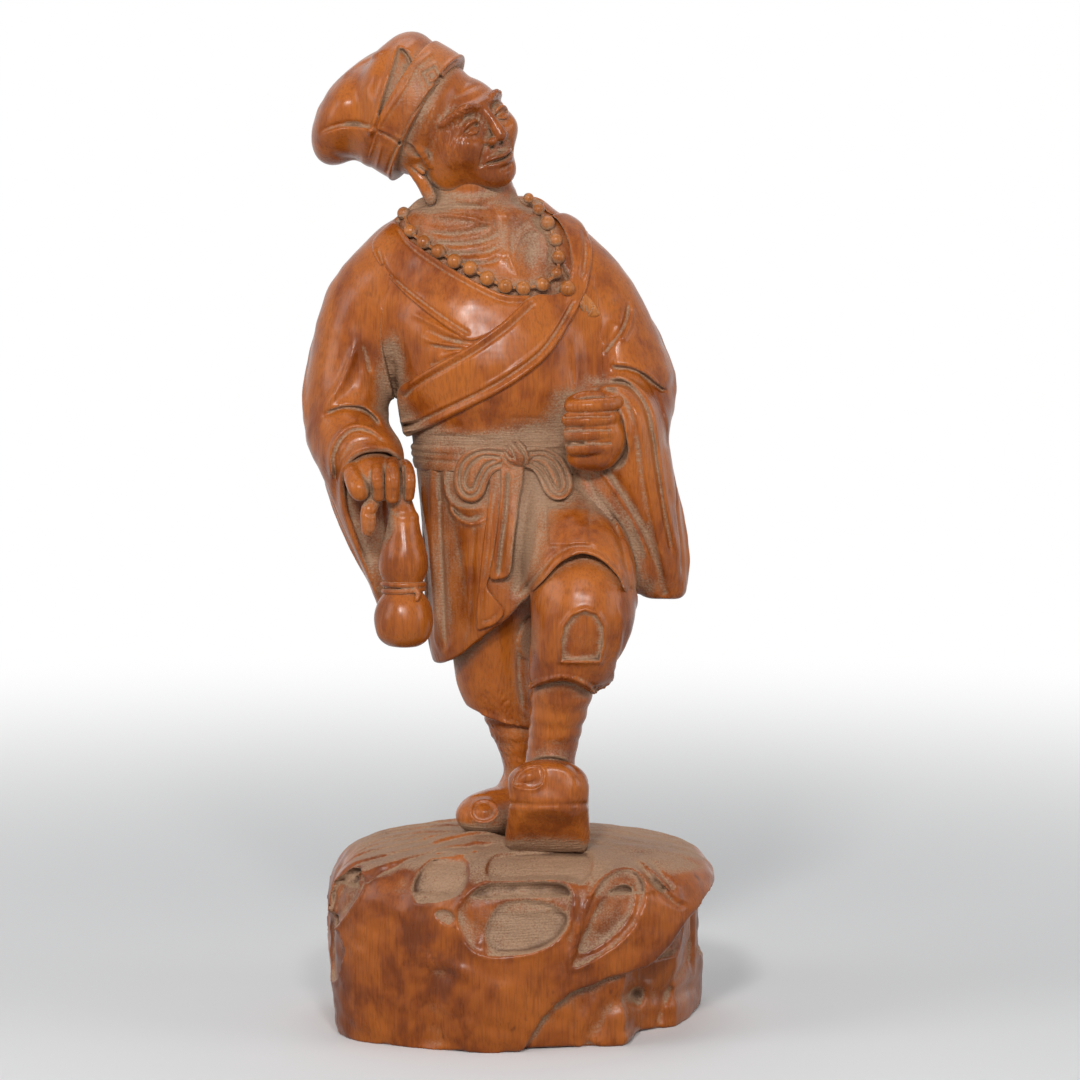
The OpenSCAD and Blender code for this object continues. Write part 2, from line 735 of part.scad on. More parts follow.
rock_base();
front_leg();
rear_leg();
front_trouser();
rear_trouser();
skirt();
sash_band();
sash_knot();
sash_loops();
sash_tails();
robe_body();
lapel_under();
lapel_over();
chest();
head();
cap_band();
cap_crown();
necklace_beads();
necklace_tassel();
right_sleeve();
right_hand();
gourd();
gourd_cord();
left_sleeve();
left_hand();
front_foot_dowel();
rear_foot_dowel();
waist_tenon();
neck_dowel();
cap_peg();
right_wrist_peg();
left_wrist_peg();
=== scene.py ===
"""Carved wooden figure of a striding man on a rock: the finished look, carved piece by piece.

Every piece is carved the way a carver works: a rough form, cut from simple masses, and then the marks of
the gouge, which are drawn on it from one side. All carving is done in millimetres, in the frame of the
solids: X runs to the figure's left hand, Y behind the figure and Z up.
"""

import json
import logging
import math
from dataclasses import dataclass, field
from enum import Enum
from typing import Callable, Iterable, Sequence

import bpy
import numpy as np
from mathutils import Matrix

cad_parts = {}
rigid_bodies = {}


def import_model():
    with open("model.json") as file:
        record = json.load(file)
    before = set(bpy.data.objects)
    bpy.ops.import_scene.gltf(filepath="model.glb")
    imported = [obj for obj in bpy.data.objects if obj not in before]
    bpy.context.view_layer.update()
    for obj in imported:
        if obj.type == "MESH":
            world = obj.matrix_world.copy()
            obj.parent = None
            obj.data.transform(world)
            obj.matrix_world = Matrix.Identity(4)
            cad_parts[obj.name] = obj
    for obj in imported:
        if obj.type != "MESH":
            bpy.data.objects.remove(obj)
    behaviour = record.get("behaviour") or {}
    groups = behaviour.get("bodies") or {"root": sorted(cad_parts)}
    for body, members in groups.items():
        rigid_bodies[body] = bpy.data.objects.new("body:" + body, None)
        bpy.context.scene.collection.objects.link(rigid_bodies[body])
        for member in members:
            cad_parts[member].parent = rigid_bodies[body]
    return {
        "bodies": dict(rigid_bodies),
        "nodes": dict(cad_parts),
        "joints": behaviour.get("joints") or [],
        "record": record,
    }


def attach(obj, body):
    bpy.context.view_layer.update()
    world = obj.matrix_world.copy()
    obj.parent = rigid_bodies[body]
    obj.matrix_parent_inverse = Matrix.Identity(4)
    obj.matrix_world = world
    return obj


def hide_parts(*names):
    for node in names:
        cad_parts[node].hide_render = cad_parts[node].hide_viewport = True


LOG = logging.getLogger("carved_figure")
Array = np.ndarray
Point = Sequence[float]
MM = 0.001
# A hundredth of the figure's height over the rock, and the height at which it stands, in millimetres
UNIT = 2.0
ROCK_H = 50.0
# Distance that stands for everywhere, and the least share of a cell that a reading stays inside a map
FAR = 1000.0
LAST_CELL = 1.001
CHUNK = 400000
COARSE = 4
ROUGHER = 1.0
# Distances from the camera between which a ray meets the figure, and its pace along the ray
NEAREST, FARTHEST, PACE = 1020.0, 1150.0, 0.25


# Small sums

def placed(rows: Iterable[Point]) -> Array:
    """Turns rows in hundredths of the figure's height, from the rock's top, into millimetres.

    Args:
        rows: Rows of x, y, z and any number of half sizes.

    Returns:
        The rows in millimetres.
    """
    out = np.array(list(rows), dtype=np.float64) * UNIT
    out[:, 2] += ROCK_H
    return out


def eased(t: Array, low: float, high: float) -> Array:
    """Runs smoothly from 0 at low to 1 at high."""
    s = np.clip((t - low) / (high - low), 0.0, 1.0)
    return s * s * (3.0 - 2.0 * s)


def soft_min(a: Array, b: Array, blend: float) -> Array:
    """Joins two distances, with a fillet of about the blend's size."""
    if blend <= 0:
        return np.minimum(a, b)
    h = np.clip(0.5 + 0.5 * (b - a) / blend, 0.0, 1.0)
    return b + (a - b) * h - blend * h * (1.0 - h)


def soft_max(a: Array, b: Array, blend: float) -> Array:
    """Keeps what two distances share, with its edge rounded by about the blend's size."""
    return -soft_min(-a, -b, blend)


def course(rows: Array, parts: int = 4, closed: bool = False) -> Array:
    """Draws a smooth course through rows of numbers.

    Args:
        rows: The rows that the course passes through.
        parts: How many steps lie between two rows.
        closed: Whether the course comes back to its first row.

    Returns:
        The rows of the course.
    """
    r = np.array(rows, dtype=np.float64)
    if len(r) < 3:
        return r
    if closed:
        r = np.vstack([r[-1:], r, r[:2]])
    else:
        r = np.vstack([2 * r[:1] - r[1:2], r, 2 * r[-1:] - r[-2:-1]])
    t = np.linspace(0.0, 1.0, parts, endpoint=False)[:, None]
    out = []
    for a, b, c, d in zip(r, r[1:], r[2:], r[3:]):
        out.append(0.5 * (2 * b + (c - a) * t + (2 * a - 5 * b + 4 * c - d) * t ** 2
                          + (3 * b - a - 3 * c + d) * t ** 3))
    if not closed:
        out.append(r[-2:-1])
    return np.vstack(out)


def turned(axis: str, degrees: float) -> Array:
    """Gives the matrix of a turn about an axis."""
    c, s = math.cos(math.radians(degrees)), math.sin(math.radians(degrees))
    i, j = {"x": (1, 2), "y": (2, 0), "z": (0, 1)}[axis]
    m = np.eye(3)
    m[i, i], m[i, j], m[j, i], m[j, j] = c, -s, s, c
    return m


def ripple(p: Array, size: float, seed: int, waves: int = 7) -> Array:
    """Gives an even, unpatterned unevenness.

    Args:
        p: Points in millimetres.
        size: Rough distance from one rise to the next.
        seed: Seed of the unevenness.
        waves: How many waves it is made of.

    Returns:
        A value from about -1 to 1 at each point.
    """
    rng = np.random.default_rng(seed)
    out = np.zeros(len(p), dtype=np.float32)
    for _ in range(waves):
        way = rng.normal(size=p.shape[1])
        way *= rng.uniform(0.7, 1.5) * 2 * math.pi / size / np.linalg.norm(way)
        out += np.sin(p @ way.astype(np.float32) + np.float32(rng.uniform(0, 2 * math.pi)))
    return out / math.sqrt(waves)


# Views, from which marks are drawn

@dataclass(frozen=True)
class View:
    """A side from which marks are drawn, flat on.

    Attributes:
        right: Way that runs to the right of the drawing.
        up: Way that runs up it.
        origin: Place of the drawing's origin.
        per_mm: Drawing units in a millimetre.
    """
    right: tuple = (1.0, 0.0, 0.0)
    up: tuple = (0.0, 0.0, 1.0)
    origin: tuple = (0.0, 0.0, 0.0)
    per_mm: float = 1.0

    @property
    def toward(self) -> Array:
        """Way from the object to the eye."""
        return np.cross(np.array(self.right), np.array(self.up))

    def flat(self, p: Array) -> tuple[Array, Array]:
        """Gives where points lie in the drawing."""
        q = (p - np.array(self.origin, dtype=np.float32)) * np.float32(self.per_mm)
        return q @ np.array(self.right, dtype=np.float32), q @ np.array(self.up, dtype=np.float32)


@dataclass(frozen=True)
class FrontView(View):
    """The front, as the studio camera sees it: 1080 units wide and high, with v running down.

    Attributes:
        distance: How far the camera stands from the place it looks at.
        pitch: How far it looks down, in degrees.
        focal: Its focal length in drawing units.
        aim: The place it looks at.
        middle: Where that place lies in the drawing.
    """
    distance: float = 1100.0
    pitch: float = 6.0
    focal: float = 4185.0
    aim: tuple = (0.0, 0.0, 128.0)
    middle: tuple = (512.0, 540.0)
    per_mm: float = 3.8

    @property
    def ways(self) -> tuple[Array, Array, Array]:
        """The camera's place, the way it looks and its upward way."""
        c, s = math.cos(math.radians(self.pitch)), math.sin(math.radians(self.pitch))
        eye = np.array(self.aim) + self.distance * np.array([0.0, -c, s])
        return eye, np.array([0.0, c, -s]), np.array([0.0, s, c])

    @property
    def toward(self) -> Array:
        """Way from the object to the eye."""
        return -self.ways[1]

    def flat(self, p: Array) -> tuple[Array, Array]:
        """Gives where points lie in the drawing."""
        eye, ahead, up = (w.astype(np.float32) for w in self.ways)
        q = p - eye
        depth = q @ ahead
        return (self.middle[0] + self.focal * q[:, 0] / depth,
                self.middle[1] - self.focal * (q @ up) / depth)

    def ray(self, u: float, v: float) -> tuple[Array, Array]:
        """Gives the eye and the way from it through a place in the drawing."""
        eye, ahead, up = self.ways
        way = ahead + up * (self.middle[1] - v) / self.focal
        way[0] += (u - self.middle[0]) / self.focal
        return eye, way / np.linalg.norm(way)


FRONT = FrontView()
BACK = View(right=(-1.0, 0.0, 0.0))
TOP = View(up=(0.0, 1.0, 0.0))
LEFT = View(right=(0.0, 1.0, 0.0))
RIGHT = View(right=(0.0, -1.0, 0.0))


# Marks of the gouge

def along(u: Array, v: Array, path: Array) -> tuple[Array, Array, Array]:
    """Measures points against an open path.

    Args:
        u: Places across the drawing.
        v: Places along the drawing.
        path: The path's points.

    Returns:
        The distance, which is positive on the path's left side, the place along the path and its length.
    """
    best = np.full(u.shape, 1e9)
    side = np.zeros(u.shape)
    arc = np.zeros(u.shape)
    run = 0.0
    for a, b in zip(path, path[1:]):
        e = b - a
        size = math.hypot(*e)
        if size < 1e-9:
            continue
        x, y = u - a[0], v - a[1]
        t = (x * e[0] + y * e[1]) / size ** 2
        s = np.clip(t, 0.0, 1.0)
        d = np.hypot(x - s * e[0], y - s * e[1])
        near = d < best
        best = np.where(near, d, best)
        side = np.where(near, e[0] * y - e[1] * x, side)
        arc = np.where(near, run + t * size, arc)
        run += size
    return np.where(side < 0, -best, best), arc, np.full(u.shape, run)


def within(u: Array, v: Array, outline: Array) -> Array:
    """Gives the distance to a closed outline, positive inside it."""
    best = np.full(u.shape, 1e9)
    inside = np.zeros(u.shape, dtype=bool)
    for a, b in zip(outline, np.roll(outline, -1, axis=0)):
        e = b - a
        x, y = u - a[0], v - a[1]
        t = np.clip((x * e[0] + y * e[1]) / max(e @ e, 1e-12), 0.0, 1.0)
        best = np.minimum(best, np.hypot(x - t * e[0], y - t * e[1]))
        if a[1] != b[1]:
            inside ^= ((a[1] > v) != (b[1] > v)) & (x < (v - a[1]) * e[0] / e[1])
    return np.where(inside, best, -best)


@dataclass(frozen=True)
class Mark:
    """One mark. Its places are in drawing units and its sizes in millimetres.

    Attributes:
        points: Its places.
        lift: How far it stands out, or cuts in where it is negative.
        size: Its half width, or the width of its edge.
    """
    points: Sequence[Point]
    lift: float
    size: float = 0.8

    def reach(self) -> float:
        """How far it reaches beyond its places."""
        return 3.2 * self.size

    def height(self, u: Array, v: Array, unit: float) -> Array:
        """Gives its height at places in the drawing, where unit is a drawing unit's millimetres."""
        raise NotImplementedError


@dataclass(frozen=True)
class Stroke(Mark):
    """A rounded groove or ridge that thins out at its ends over a share of its length."""
    taper: float = 0.25

    def height(self, u: Array, v: Array, unit: float) -> Array:
        """Gives the stroke's height."""
        d, arc, run = along(u, v, course(self.points, 4))
        ends = eased(np.minimum(arc, run - arc) / run, -0.02, max(self.taper, 1e-3))
        return self.lift * np.exp(-(d * unit / self.size) ** 2) * ends


def fold(points: Sequence[Point], lift: float, size: float) -> Stroke:
    """Makes a stroke that thins out only near its ends."""
    return Stroke(points, lift, size, taper=0.1)


def shifted(points: Iterable[Point], by: float) -> list[Point]:
    """Moves a line up the front view, and half as far to the left."""
    return [(u - by * 0.5, v - by) for u, v in points]


@dataclass(frozen=True)
class Lip(Mark):
    """An edge of one layer over another: a step that fades out on the path's left side.

    Attributes:
        fade: Distance over which the raised side sinks back.
        undercut: Depth of the groove at its foot.
    """
    fade: float = 4.0
    undercut: float = 0.3
    taper: float = 0.18

    def reach(self) -> float:
        """How far it reaches beyond its places."""
        return 3.0 * self.fade

    def height(self, u: Array, v: Array, unit: float) -> Array:
        """Gives the lip's height."""
        d, arc, run = along(u, v, course(self.points, 4))
        d = d * unit
        ends = eased(np.minimum(arc, run - arc) / run, -0.02, self.taper)
        step = eased(d, -0.5 * self.size, 0.5 * self.size) * np.exp(-np.maximum(d, 0.0) / self.fade)
        foot = np.exp(-((d + self.size) / self.size) ** 2)
        return (self.lift * step - self.undercut * foot) * ends


@dataclass(frozen=True)
class Panel(Mark):
    """A raised or sunk field inside a closed outline.

    Attributes:
        rim: How far a bead along its outline stands out.
        rim_size: Half width of that bead.
        crown: How far its middle rises above its edge.
    """
    rim: float = 0.0
    rim_size: float = 0.5
    crown: float = 0.0
    smooth: bool = True

    def height(self, u: Array, v: Array, unit: float) -> Array:
        """Gives the panel's height."""
        line = course(self.points, 4, closed=True) if self.smooth else np.array(self.points, float)
        d = within(u, v, line) * unit
        out = self.lift * eased(d, -0.5 * self.size, self.size)
        if self.crown:
            out = out + self.crown * (1.0 - np.exp(-np.maximum(d, 0.0) / (3 * abs(self.size) + 1)))
        return out + self.rim * np.exp(-(d / self.rim_size) ** 2)


@dataclass(frozen=True)
class Spot(Mark):
    """A rounded bump or hollow: its place, then its half width and half height in drawing units."""

    def reach(self) -> float:
        """How far it reaches beyond its places."""
        return 0.0

    def height(self, u: Array, v: Array, unit: float) -> Array:
        """Gives the spot's height."""
        (cu, cv), (ru, rv) = self.points[0], self.points[1]
        return self.lift * np.exp(-1.4 * (((u - cu) / ru) ** 2 + ((v - cv) / rv) ** 2))


@dataclass(frozen=True)
class Hatch(Mark):
    """Many fine strokes side by side inside a closed outline, like hair.

    Attributes:
        way: Direction of the strokes, in degrees.
        spacing: Distance between strokes in millimetres.
        wave: How far the strokes wander, in millimetres.
    """
    way: float = 0.0
    spacing: float = 0.8
    wave: float = 0.3

    def height(self, u: Array, v: Array, unit: float) -> Array:
        """Gives the height of the strokes."""
        d = within(u, v, course(self.points, 4, closed=True)) * unit
        c, s = math.cos(math.radians(self.way)), math.sin(math.radians(self.way))
        run, across = (u * c + v * s) * unit, (v * c - u * s) * unit
        across = across + self.wave * np.sin(run * 0.9 + 1.7 * np.sin(across * 0.8))
        lines = np.cos(2 * math.pi * across / self.spacing)
        broken = 0.65 + 0.35 * np.sin(run * 1.9 + 2.6 * np.floor(across / self.spacing))
        return self.lift * eased(d, 0.0, self.size) * (0.5 + 0.5 * lines) * broken


@dataclass
class Drawing:
    """Marks drawn on a form from one side, kept as a map of heights.

    Attributes:
        view: The side.
        marks: The marks.
        facing: How far a surface may turn from the side before the marks fade out.
        step: Distance between the map's places, in millimetres.
    """
    view: View
    marks: Sequence[Mark]
    facing: float = 0.05
    step: float = 0.14
    grid: Array = field(init=False, repr=False)
    low: Array = field(init=False, repr=False)

    def __post_init__(self) -> None:
        """Draws the marks into the map."""
        unit = 1.0 / self.view.per_mm
        step = self.step / unit * ROUGHER
        corners = []
        for mark in self.marks:
            pts = np.array(mark.points, dtype=float)
            if isinstance(mark, Spot):
                corners += [pts[0] - 2.2 * pts[1], pts[0] + 2.2 * pts[1]]
            else:
                corners += [pts.min(0) - mark.reach() / unit, pts.max(0) + mark.reach() / unit]
        self.low = np.min(corners, axis=0) - step
        shape = np.ceil((np.max(corners, axis=0) - self.low) / step).astype(int) + 3
        self.grid = np.zeros(shape, dtype=np.float32)
        self._step = step
        for mark, a, b in zip(self.marks, corners[::2], corners[1::2]):
            i0, j0 = np.maximum(np.floor((a - self.low) / step).astype(int), 0)
            i1, j1 = np.minimum(np.ceil((b - self.low) / step).astype(int) + 2, shape)
            u = self.low[0] + step * np.arange(i0, i1)[:, None] + np.zeros((1, j1 - j0))
            v = self.low[1] + step * np.arange(j0, j1)[None, :] + np.zeros((i1 - i0, 1))
            self.grid[i0:i1, j0:j1] += mark.height(u, v, unit).astype(np.float32)

    def at(self, p: Array) -> Array:
        """Reads the heights for points."""
        u, v = self.view.flat(p)
        a, b = (u - self.low[0]) / self._step, (v - self.low[1]) / self._step
        last_a, last_b = (size - LAST_CELL for size in self.grid.shape)
        ok = (a >= 0) & (b >= 0) & (a < last_a) & (b < last_b)
        out = np.zeros(len(p), dtype=np.float32)
        a, b = a[ok], b[ok]
        i, j = a.astype(np.int32), b.astype(np.int32)
        a, b = a - i, b - j
        g = self.grid
        out[ok] = ((g[i, j] * (1 - a) + g[i + 1, j] * a) * (1 - b)
                   + (g[i, j + 1] * (1 - a) + g[i + 1, j + 1] * a) * b)
        return out


# Forms

class Form:
    """A closed form, known by its distance: negative inside, in millimetres."""

    def distance(self, p: Array) -> Array:
        """Gives the distance of points."""
        raise NotImplementedError

    def box(self) -> tuple[Array, Array]:
        """Gives the lowest and highest corners, which hold everything where a form has no end."""
        return np.full(3, -FAR), np.full(3, FAR)


def oval_distance(q: Array, half: Array) -> Array:
    """Gives the distance to an oval ball.

    Args:
        q: Places from its middle.
        half: Its half sizes, for all points or for each.

    Returns:
        The distances.
    """
    w = q / half
    k0 = np.sqrt(np.einsum("ij,ij->i", w, w))
    w = w / half
    k1 = np.sqrt(np.einsum("ij,ij->i", w, w)) + 1e-6
    return k0 * (k0 - 1.0) / k1


@dataclass
class Link(Form):
    """An oval ball that grows or shrinks from one place to another, as rows of x, y, z and half sizes."""
    a: Array
    b: Array

    def __post_init__(self) -> None:
        """Sets the form's numbers."""
        self.a, self.b = np.array(self.a, np.float32), np.array(self.b, np.float32)

    def distance(self, p: Array) -> Array:
        """Gives the distance of points."""
        axis = self.b[:3] - self.a[:3]
        t = np.clip((p - self.a[:3]) @ axis / max(float(axis @ axis), 1e-9), 0, 1)[:, None]
        return oval_distance(p - self.a[:3] - t * axis, self.a[3:] + t * (self.b[3:] - self.a[3:]))

    def box(self) -> tuple[Array, Array]:
        """Gives the corners."""
        return (np.minimum(self.a[:3] - self.a[3:], self.b[:3] - self.b[3:]),
                np.maximum(self.a[:3] + self.a[3:], self.b[:3] + self.b[3:]))


@dataclass
class Union(Form):
    """Forms joined with a fillet."""
    parts: Sequence[Form]
    blend: float = 1.0
    reach: float = 9.0

    def distance(self, p: Array) -> Array:
        """Gives the distance of points, each form being measured only near its own box."""
        out = np.full(len(p), FAR, dtype=np.float32)
        for part in self.parts:
            lo, hi = part.box()
            near = np.flatnonzero(((p > lo - self.reach) & (p < hi + self.reach)).all(axis=1))
            if near.size:
                out[near] = soft_min(out[near], part.distance(p[near]), self.blend)
        return out

    def box(self) -> tuple[Array, Array]:
        """Gives the corners."""
        boxes = [part.box() for part in self.parts]
        return np.min([b[0] for b in boxes], axis=0), np.max([b[1] for b in boxes], axis=0)


def chain(rows: Iterable[Point], blend: float = 0.6, parts: int = 3) -> Union:
    """Strings oval balls into one smooth limb, as rows of x, y, z and half sizes."""
    table = course(np.array(list(rows), dtype=float), parts)
    return Union([Link(a, b) for a, b in zip(table, table[1:])], blend)


def ball(place: Point, half: Point | float) -> Link:
    """Makes an oval ball."""
    size = [half] * 3 if isinstance(half, (int, float)) else list(half)
    return Link([*place, *size], [*place, *size])


def rod(points: Iterable[Point], radii: Sequence[float] | float, blend: float = 0.3) -> Union:
    """Makes a round rod along points, with one radius or one at each point."""
    pts = [list(q) for q in points]
    sizes = [radii] * len(pts) if isinstance(radii, (int, float)) else list(radii)
    return chain([q + [r] * 3 for q, r in zip(pts, sizes)], blend)


@dataclass
class Loft(Form):
    """Oval slices, stacked along Z, as rows of x, y, z, half width and half depth."""
    rows: Array
    edge: float = 2.0

    def __post_init__(self) -> None:
        """Draws the smooth course of the slices."""
        self.table = course(np.array(self.rows, dtype=float), 6)

    def distance(self, p: Array) -> Array:
        """Gives the distance of points."""
        tz = self.table[:, 2]
        z = np.clip(p[:, 2], tz[0], tz[-1])
        x, y, w, d = (np.interp(z, tz, self.table[:, i]).astype(np.float32) for i in (0, 1, 3, 4))
        a, b = (p[:, 0] - x) / w, (p[:, 1] - y) / d
        k0 = np.hypot(a, b)
        side = 0.93 * k0 * (k0 - 1) / (np.hypot(a / w, b / d) + 1e-6)
        cap = np.maximum(tz[0] - p[:, 2], p[:, 2] - tz[-1])
        return soft_max(side, cap.astype(np.float32), self.edge)

    def box(self) -> tuple[Array, Array]:
        """Gives the corners."""
        t = self.table
        half = np.stack([t[:, 3], t[:, 4], np.zeros(len(t))], axis=1)
        return (t[:, :3] - half).min(0), (t[:, :3] + half).max(0)


@dataclass
class Lathe(Form):
    """A turned form: radii and heights above its place, with the axis along Z."""
    place: Point
    outline: Sequence[Point]

    def distance(self, p: Array) -> Array:
        """Gives the distance of points."""
        r = np.hypot(p[:, 0] - self.place[0], p[:, 1] - self.place[1])
        line = course(self.outline, 5)
        line = np.vstack([line, line[::-1] * [-1, 1]])
        return -within(r, p[:, 2] - self.place[2], line).astype(np.float32)

    def box(self) -> tuple[Array, Array]:
        """Gives the corners."""
        o = np.array(self.outline)
        r = o[:, 0].max()
        return (np.array([self.place[0] - r, self.place[1] - r, self.place[2] + o[:, 1].min()]),
                np.array([self.place[0] + r, self.place[1] + r, self.place[2] + o[:, 1].max()]))


@dataclass
class Half(Form):
    """All that lies behind a plane, given by a place and the way it faces."""
    place: Point
    way: Point

    def distance(self, p: Array) -> Array:
        """Gives the distance of points."""
        n = np.array(self.way, dtype=np.float32)
        n /= np.linalg.norm(n)
        return (p - np.array(self.place, dtype=np.float32)) @ n


@dataclass
class Region(Form):
    """All that lies inside an outline in a drawing, however deep."""
    view: View
    outline: Sequence[Point]
    smooth: bool = True

    def __post_init__(self) -> None:
        """Draws the region into a map of distances."""
        line = course(self.outline, 4, closed=True) if self.smooth else np.array(self.outline, float)
        self._low = line.min(0) - 8 * self.view.per_mm
        self._step = 0.2 * self.view.per_mm
        n = np.ceil((line.max(0) + 8 * self.view.per_mm - self._low) / self._step).astype(int) + 2
        u = self._low[0] + self._step * np.arange(n[0])[:, None] + np.zeros((1, n[1]))
        v = self._low[1] + self._step * np.arange(n[1])[None, :] + np.zeros((n[0], 1))
        self._map = (-within(u, v, line) / self.view.per_mm).astype(np.float32)

    def distance(self, p: Array) -> Array:
        """Gives the distance of points."""
        u, v = self.view.flat(p)
        n = self._map.shape
        a = np.clip((u - self._low[0]) / self._step, 0, n[0] - LAST_CELL)
        b = np.clip((v - self._low[1]) / self._step, 0, n[1] - LAST_CELL)
        i, j = a.astype(np.int32), b.astype(np.int32)
        a, b = (a - i).astype(np.float32), (b - j).astype(np.float32)
        m = self._map
        return ((m[i, j] * (1 - a) + m[i + 1, j] * a) * (1 - b)
                + (m[i, j + 1] * (1 - a) + m[i + 1, j + 1] * a) * b)


@dataclass
class Common(Form):
    """What forms share, with rounded edges."""
    parts: Sequence[Form]
    edge: float = 0.5

    def distance(self, p: Array) -> Array:
        """Gives the distance of points."""
        out = self.parts[0].distance(p)
        for part in self.parts[1:]:
            out = soft_max(out, part.distance(p), self.edge)
        return out

    def box(self) -> tuple[Array, Array]:
        """Gives the corners."""
        boxes = [part.box() for part in self.parts]
        return np.max([b[0] for b in boxes], axis=0), np.min([b[1] for b in boxes], axis=0)


@dataclass
class Cut(Form):
    """One form cut out of another, with rounded edges."""
    body: Form
    tool: Form
    edge: float = 0.5

    def distance(self, p: Array) -> Array:
        """Gives the distance of points."""
        return soft_max(self.body.distance(p), -self.tool.distance(p), self.edge)

    def box(self) -> tuple[Array, Array]:
        """Gives the corners."""
        return self.body.box()


@dataclass
class Shell(Form):
    """A layer over a form, from below its surface to above it."""
    body: Form
    above: float
    below: float = 1.2
    edge: float = 0.4

    def distance(self, p: Array) -> Array:
        """Gives the distance of points."""
        d = self.body.distance(p)
        return soft_max(d - self.above, -d - self.below, self.edge)

    def box(self) -> tuple[Array, Array]:
        """Gives the corners."""
        lo, hi = self.body.box()
        return lo - self.above - 1, hi + self.above + 1


@dataclass
class Share(Form):
    """The part of two joined forms that belongs to one of them. It reaches a little under the other.

    Attributes:
        own: The form that the part belongs to.
        other: The form that it is joined to.
        blend: Size of the fillet between them.
        under: How far it reaches under the other form.
    """
    own: Form
    other: Form
    blend: float = 5.0
    under: float = 0.0

    def distance(self, p: Array) -> Array:
        """Gives the distance of points."""
        a, b = self.own.distance(p), self.other.distance(p)
        past = np.clip((a - b) / 2, -50.0, 50.0)
        joined = soft_min(a, b, self.blend)
        if self.under:
            joined = joined + 0.14 * eased(past, -0.3, 0.3)
        return np.maximum(joined, past - self.under)

    def box(self) -> tuple[Array, Array]:
        """Gives the corners."""
        lo, hi = self.own.box()
        return lo - self.blend / 2, hi + self.blend / 2


@dataclass
class Tilted(Form):
    """A form made in a frame of its own, and set into place."""
    body: Form
    place: Array
    ways: Array
    size: float = 1.0

    def distance(self, p: Array) -> Array:
        """Gives the distance of points."""
        q = (p - self.place.astype(np.float32)) @ self.ways.astype(np.float32)
        return self.body.distance(q / np.float32(self.size)) * np.float32(self.size)

    def box(self) -> tuple[Array, Array]:
        """Gives the corners."""
        lo, hi = self.body.box()
        c = np.array([[x, y, z] for x in (lo[0], hi[0]) for y in (lo[1], hi[1]) for z in (lo[2], hi[2])])
        c = self.size * c @ self.ways.T + self.place
        return c.min(0), c.max(0)


def lands(u: float, v: float, body: Form) -> Array:
    """Finds the place on a form that shows at a place in the front view.

    Args:
        u: Place across the drawing.
        v: Place down the drawing.
        body: The form.

    Returns:
        The place in millimetres.
    """
    eye, way = FRONT.ray(u, v)
    run = np.arange(NEAREST, FARTHEST, PACE)
    p = (eye + run[:, None] * way).astype(np.float32)
    hit = np.flatnonzero(body.distance(p) < 0.0)
    return p[hit[0] if hit.size else len(p) // 2].astype(float)


# Carving a form into a mesh

def net(values: Array, low: Array, step: float) -> tuple[Array, Array]:
    """Lays a net of four-sided faces over the places where a grid of distances passes zero.

    Args:
        values: Distances on the grid.
        low: The grid's lowest corner.
        step: The grid's spacing.

    Returns:
        The net's points and faces.
    """
    solid = values < 0
    n = np.array(values.shape)
    count = np.zeros(n - 1, dtype=np.int8)
    corners = [(i, j, k) for i in (0, 1) for j in (0, 1) for k in (0, 1)]
    for i, j, k in corners:
        count += solid[i:n[0] - 1 + i, j:n[1] - 1 + j, k:n[2] - 1 + k]
    cells = np.stack(np.nonzero((count > 0) & (count < 8)), axis=1)
    index = np.full(n - 1, -1, dtype=np.int32)
    index[tuple(cells.T)] = np.arange(len(cells))
    total, hits = np.zeros((len(cells), 3), np.float32), np.zeros(len(cells), np.float32)
    for a in corners:
        for axis in range(3):
            if a[axis]:
                continue
            b = tuple(c + (m == axis) for m, c in enumerate(a))
            fa = values[tuple((cells + a).T)]
            fb = values[tuple((cells + b).T)]
            cross = (fa < 0) != (fb < 0)
            t = np.where(cross, fa / np.where(fa == fb, 1.0, fa - fb), 0.0)
            total += np.where(cross[:, None], np.array(a, np.float32), 0)
            total[:, axis] += t
            hits += cross
    points = low + (cells + total / hits[:, None]) * step
    faces = []
    for axis in range(3):
        o1, o2 = [m for m in range(3) if m != axis]
        lo = [slice(None)] * 3
        hi = [slice(None)] * 3
        lo[axis], hi[axis] = slice(None, -1), slice(1, None)
        for m in (o1, o2):
            lo[m] = hi[m] = slice(1, -1)
        first, second = solid[tuple(lo)], solid[tuple(hi)]
        e = np.stack(np.nonzero(first != second), axis=1)
        out = first[tuple(e.T)]
        e[:, o1] += 1
        e[:, o2] += 1
        ring = []
        for d1, d2 in ((1, 1), (0, 1), (0, 0), (1, 0)):
            c = e.copy()
            c[:, o1] -= d1
            c[:, o2] -= d2
            ring.append(index[tuple(c.T)])
        quad = np.stack(ring, axis=1)
        flip = out if axis != 1 else ~out
        quad[~flip] = quad[~flip][:, ::-1]
        faces.append(quad)
    return points, np.vstack(faces)


def gathered(values: Array, faces: Array, count: int) -> Array:
    """Averages what lies at each point's neighbours along the net."""
    a = faces.ravel()
    b = np.roll(faces, -1, axis=1).ravel()
    src, dst = np.concatenate([a, b]), np.concatenate([b, a])
    many = np.bincount(dst, minlength=count).astype(np.float32)
    cols = values.reshape(count, -1)
    out = np.stack([np.bincount(dst, weights=cols[src, k], minlength=count) for k
        in range(cols.shape[1])], 1)
    return (out / np.maximum(many, 1)[:, None]).reshape(values.shape)


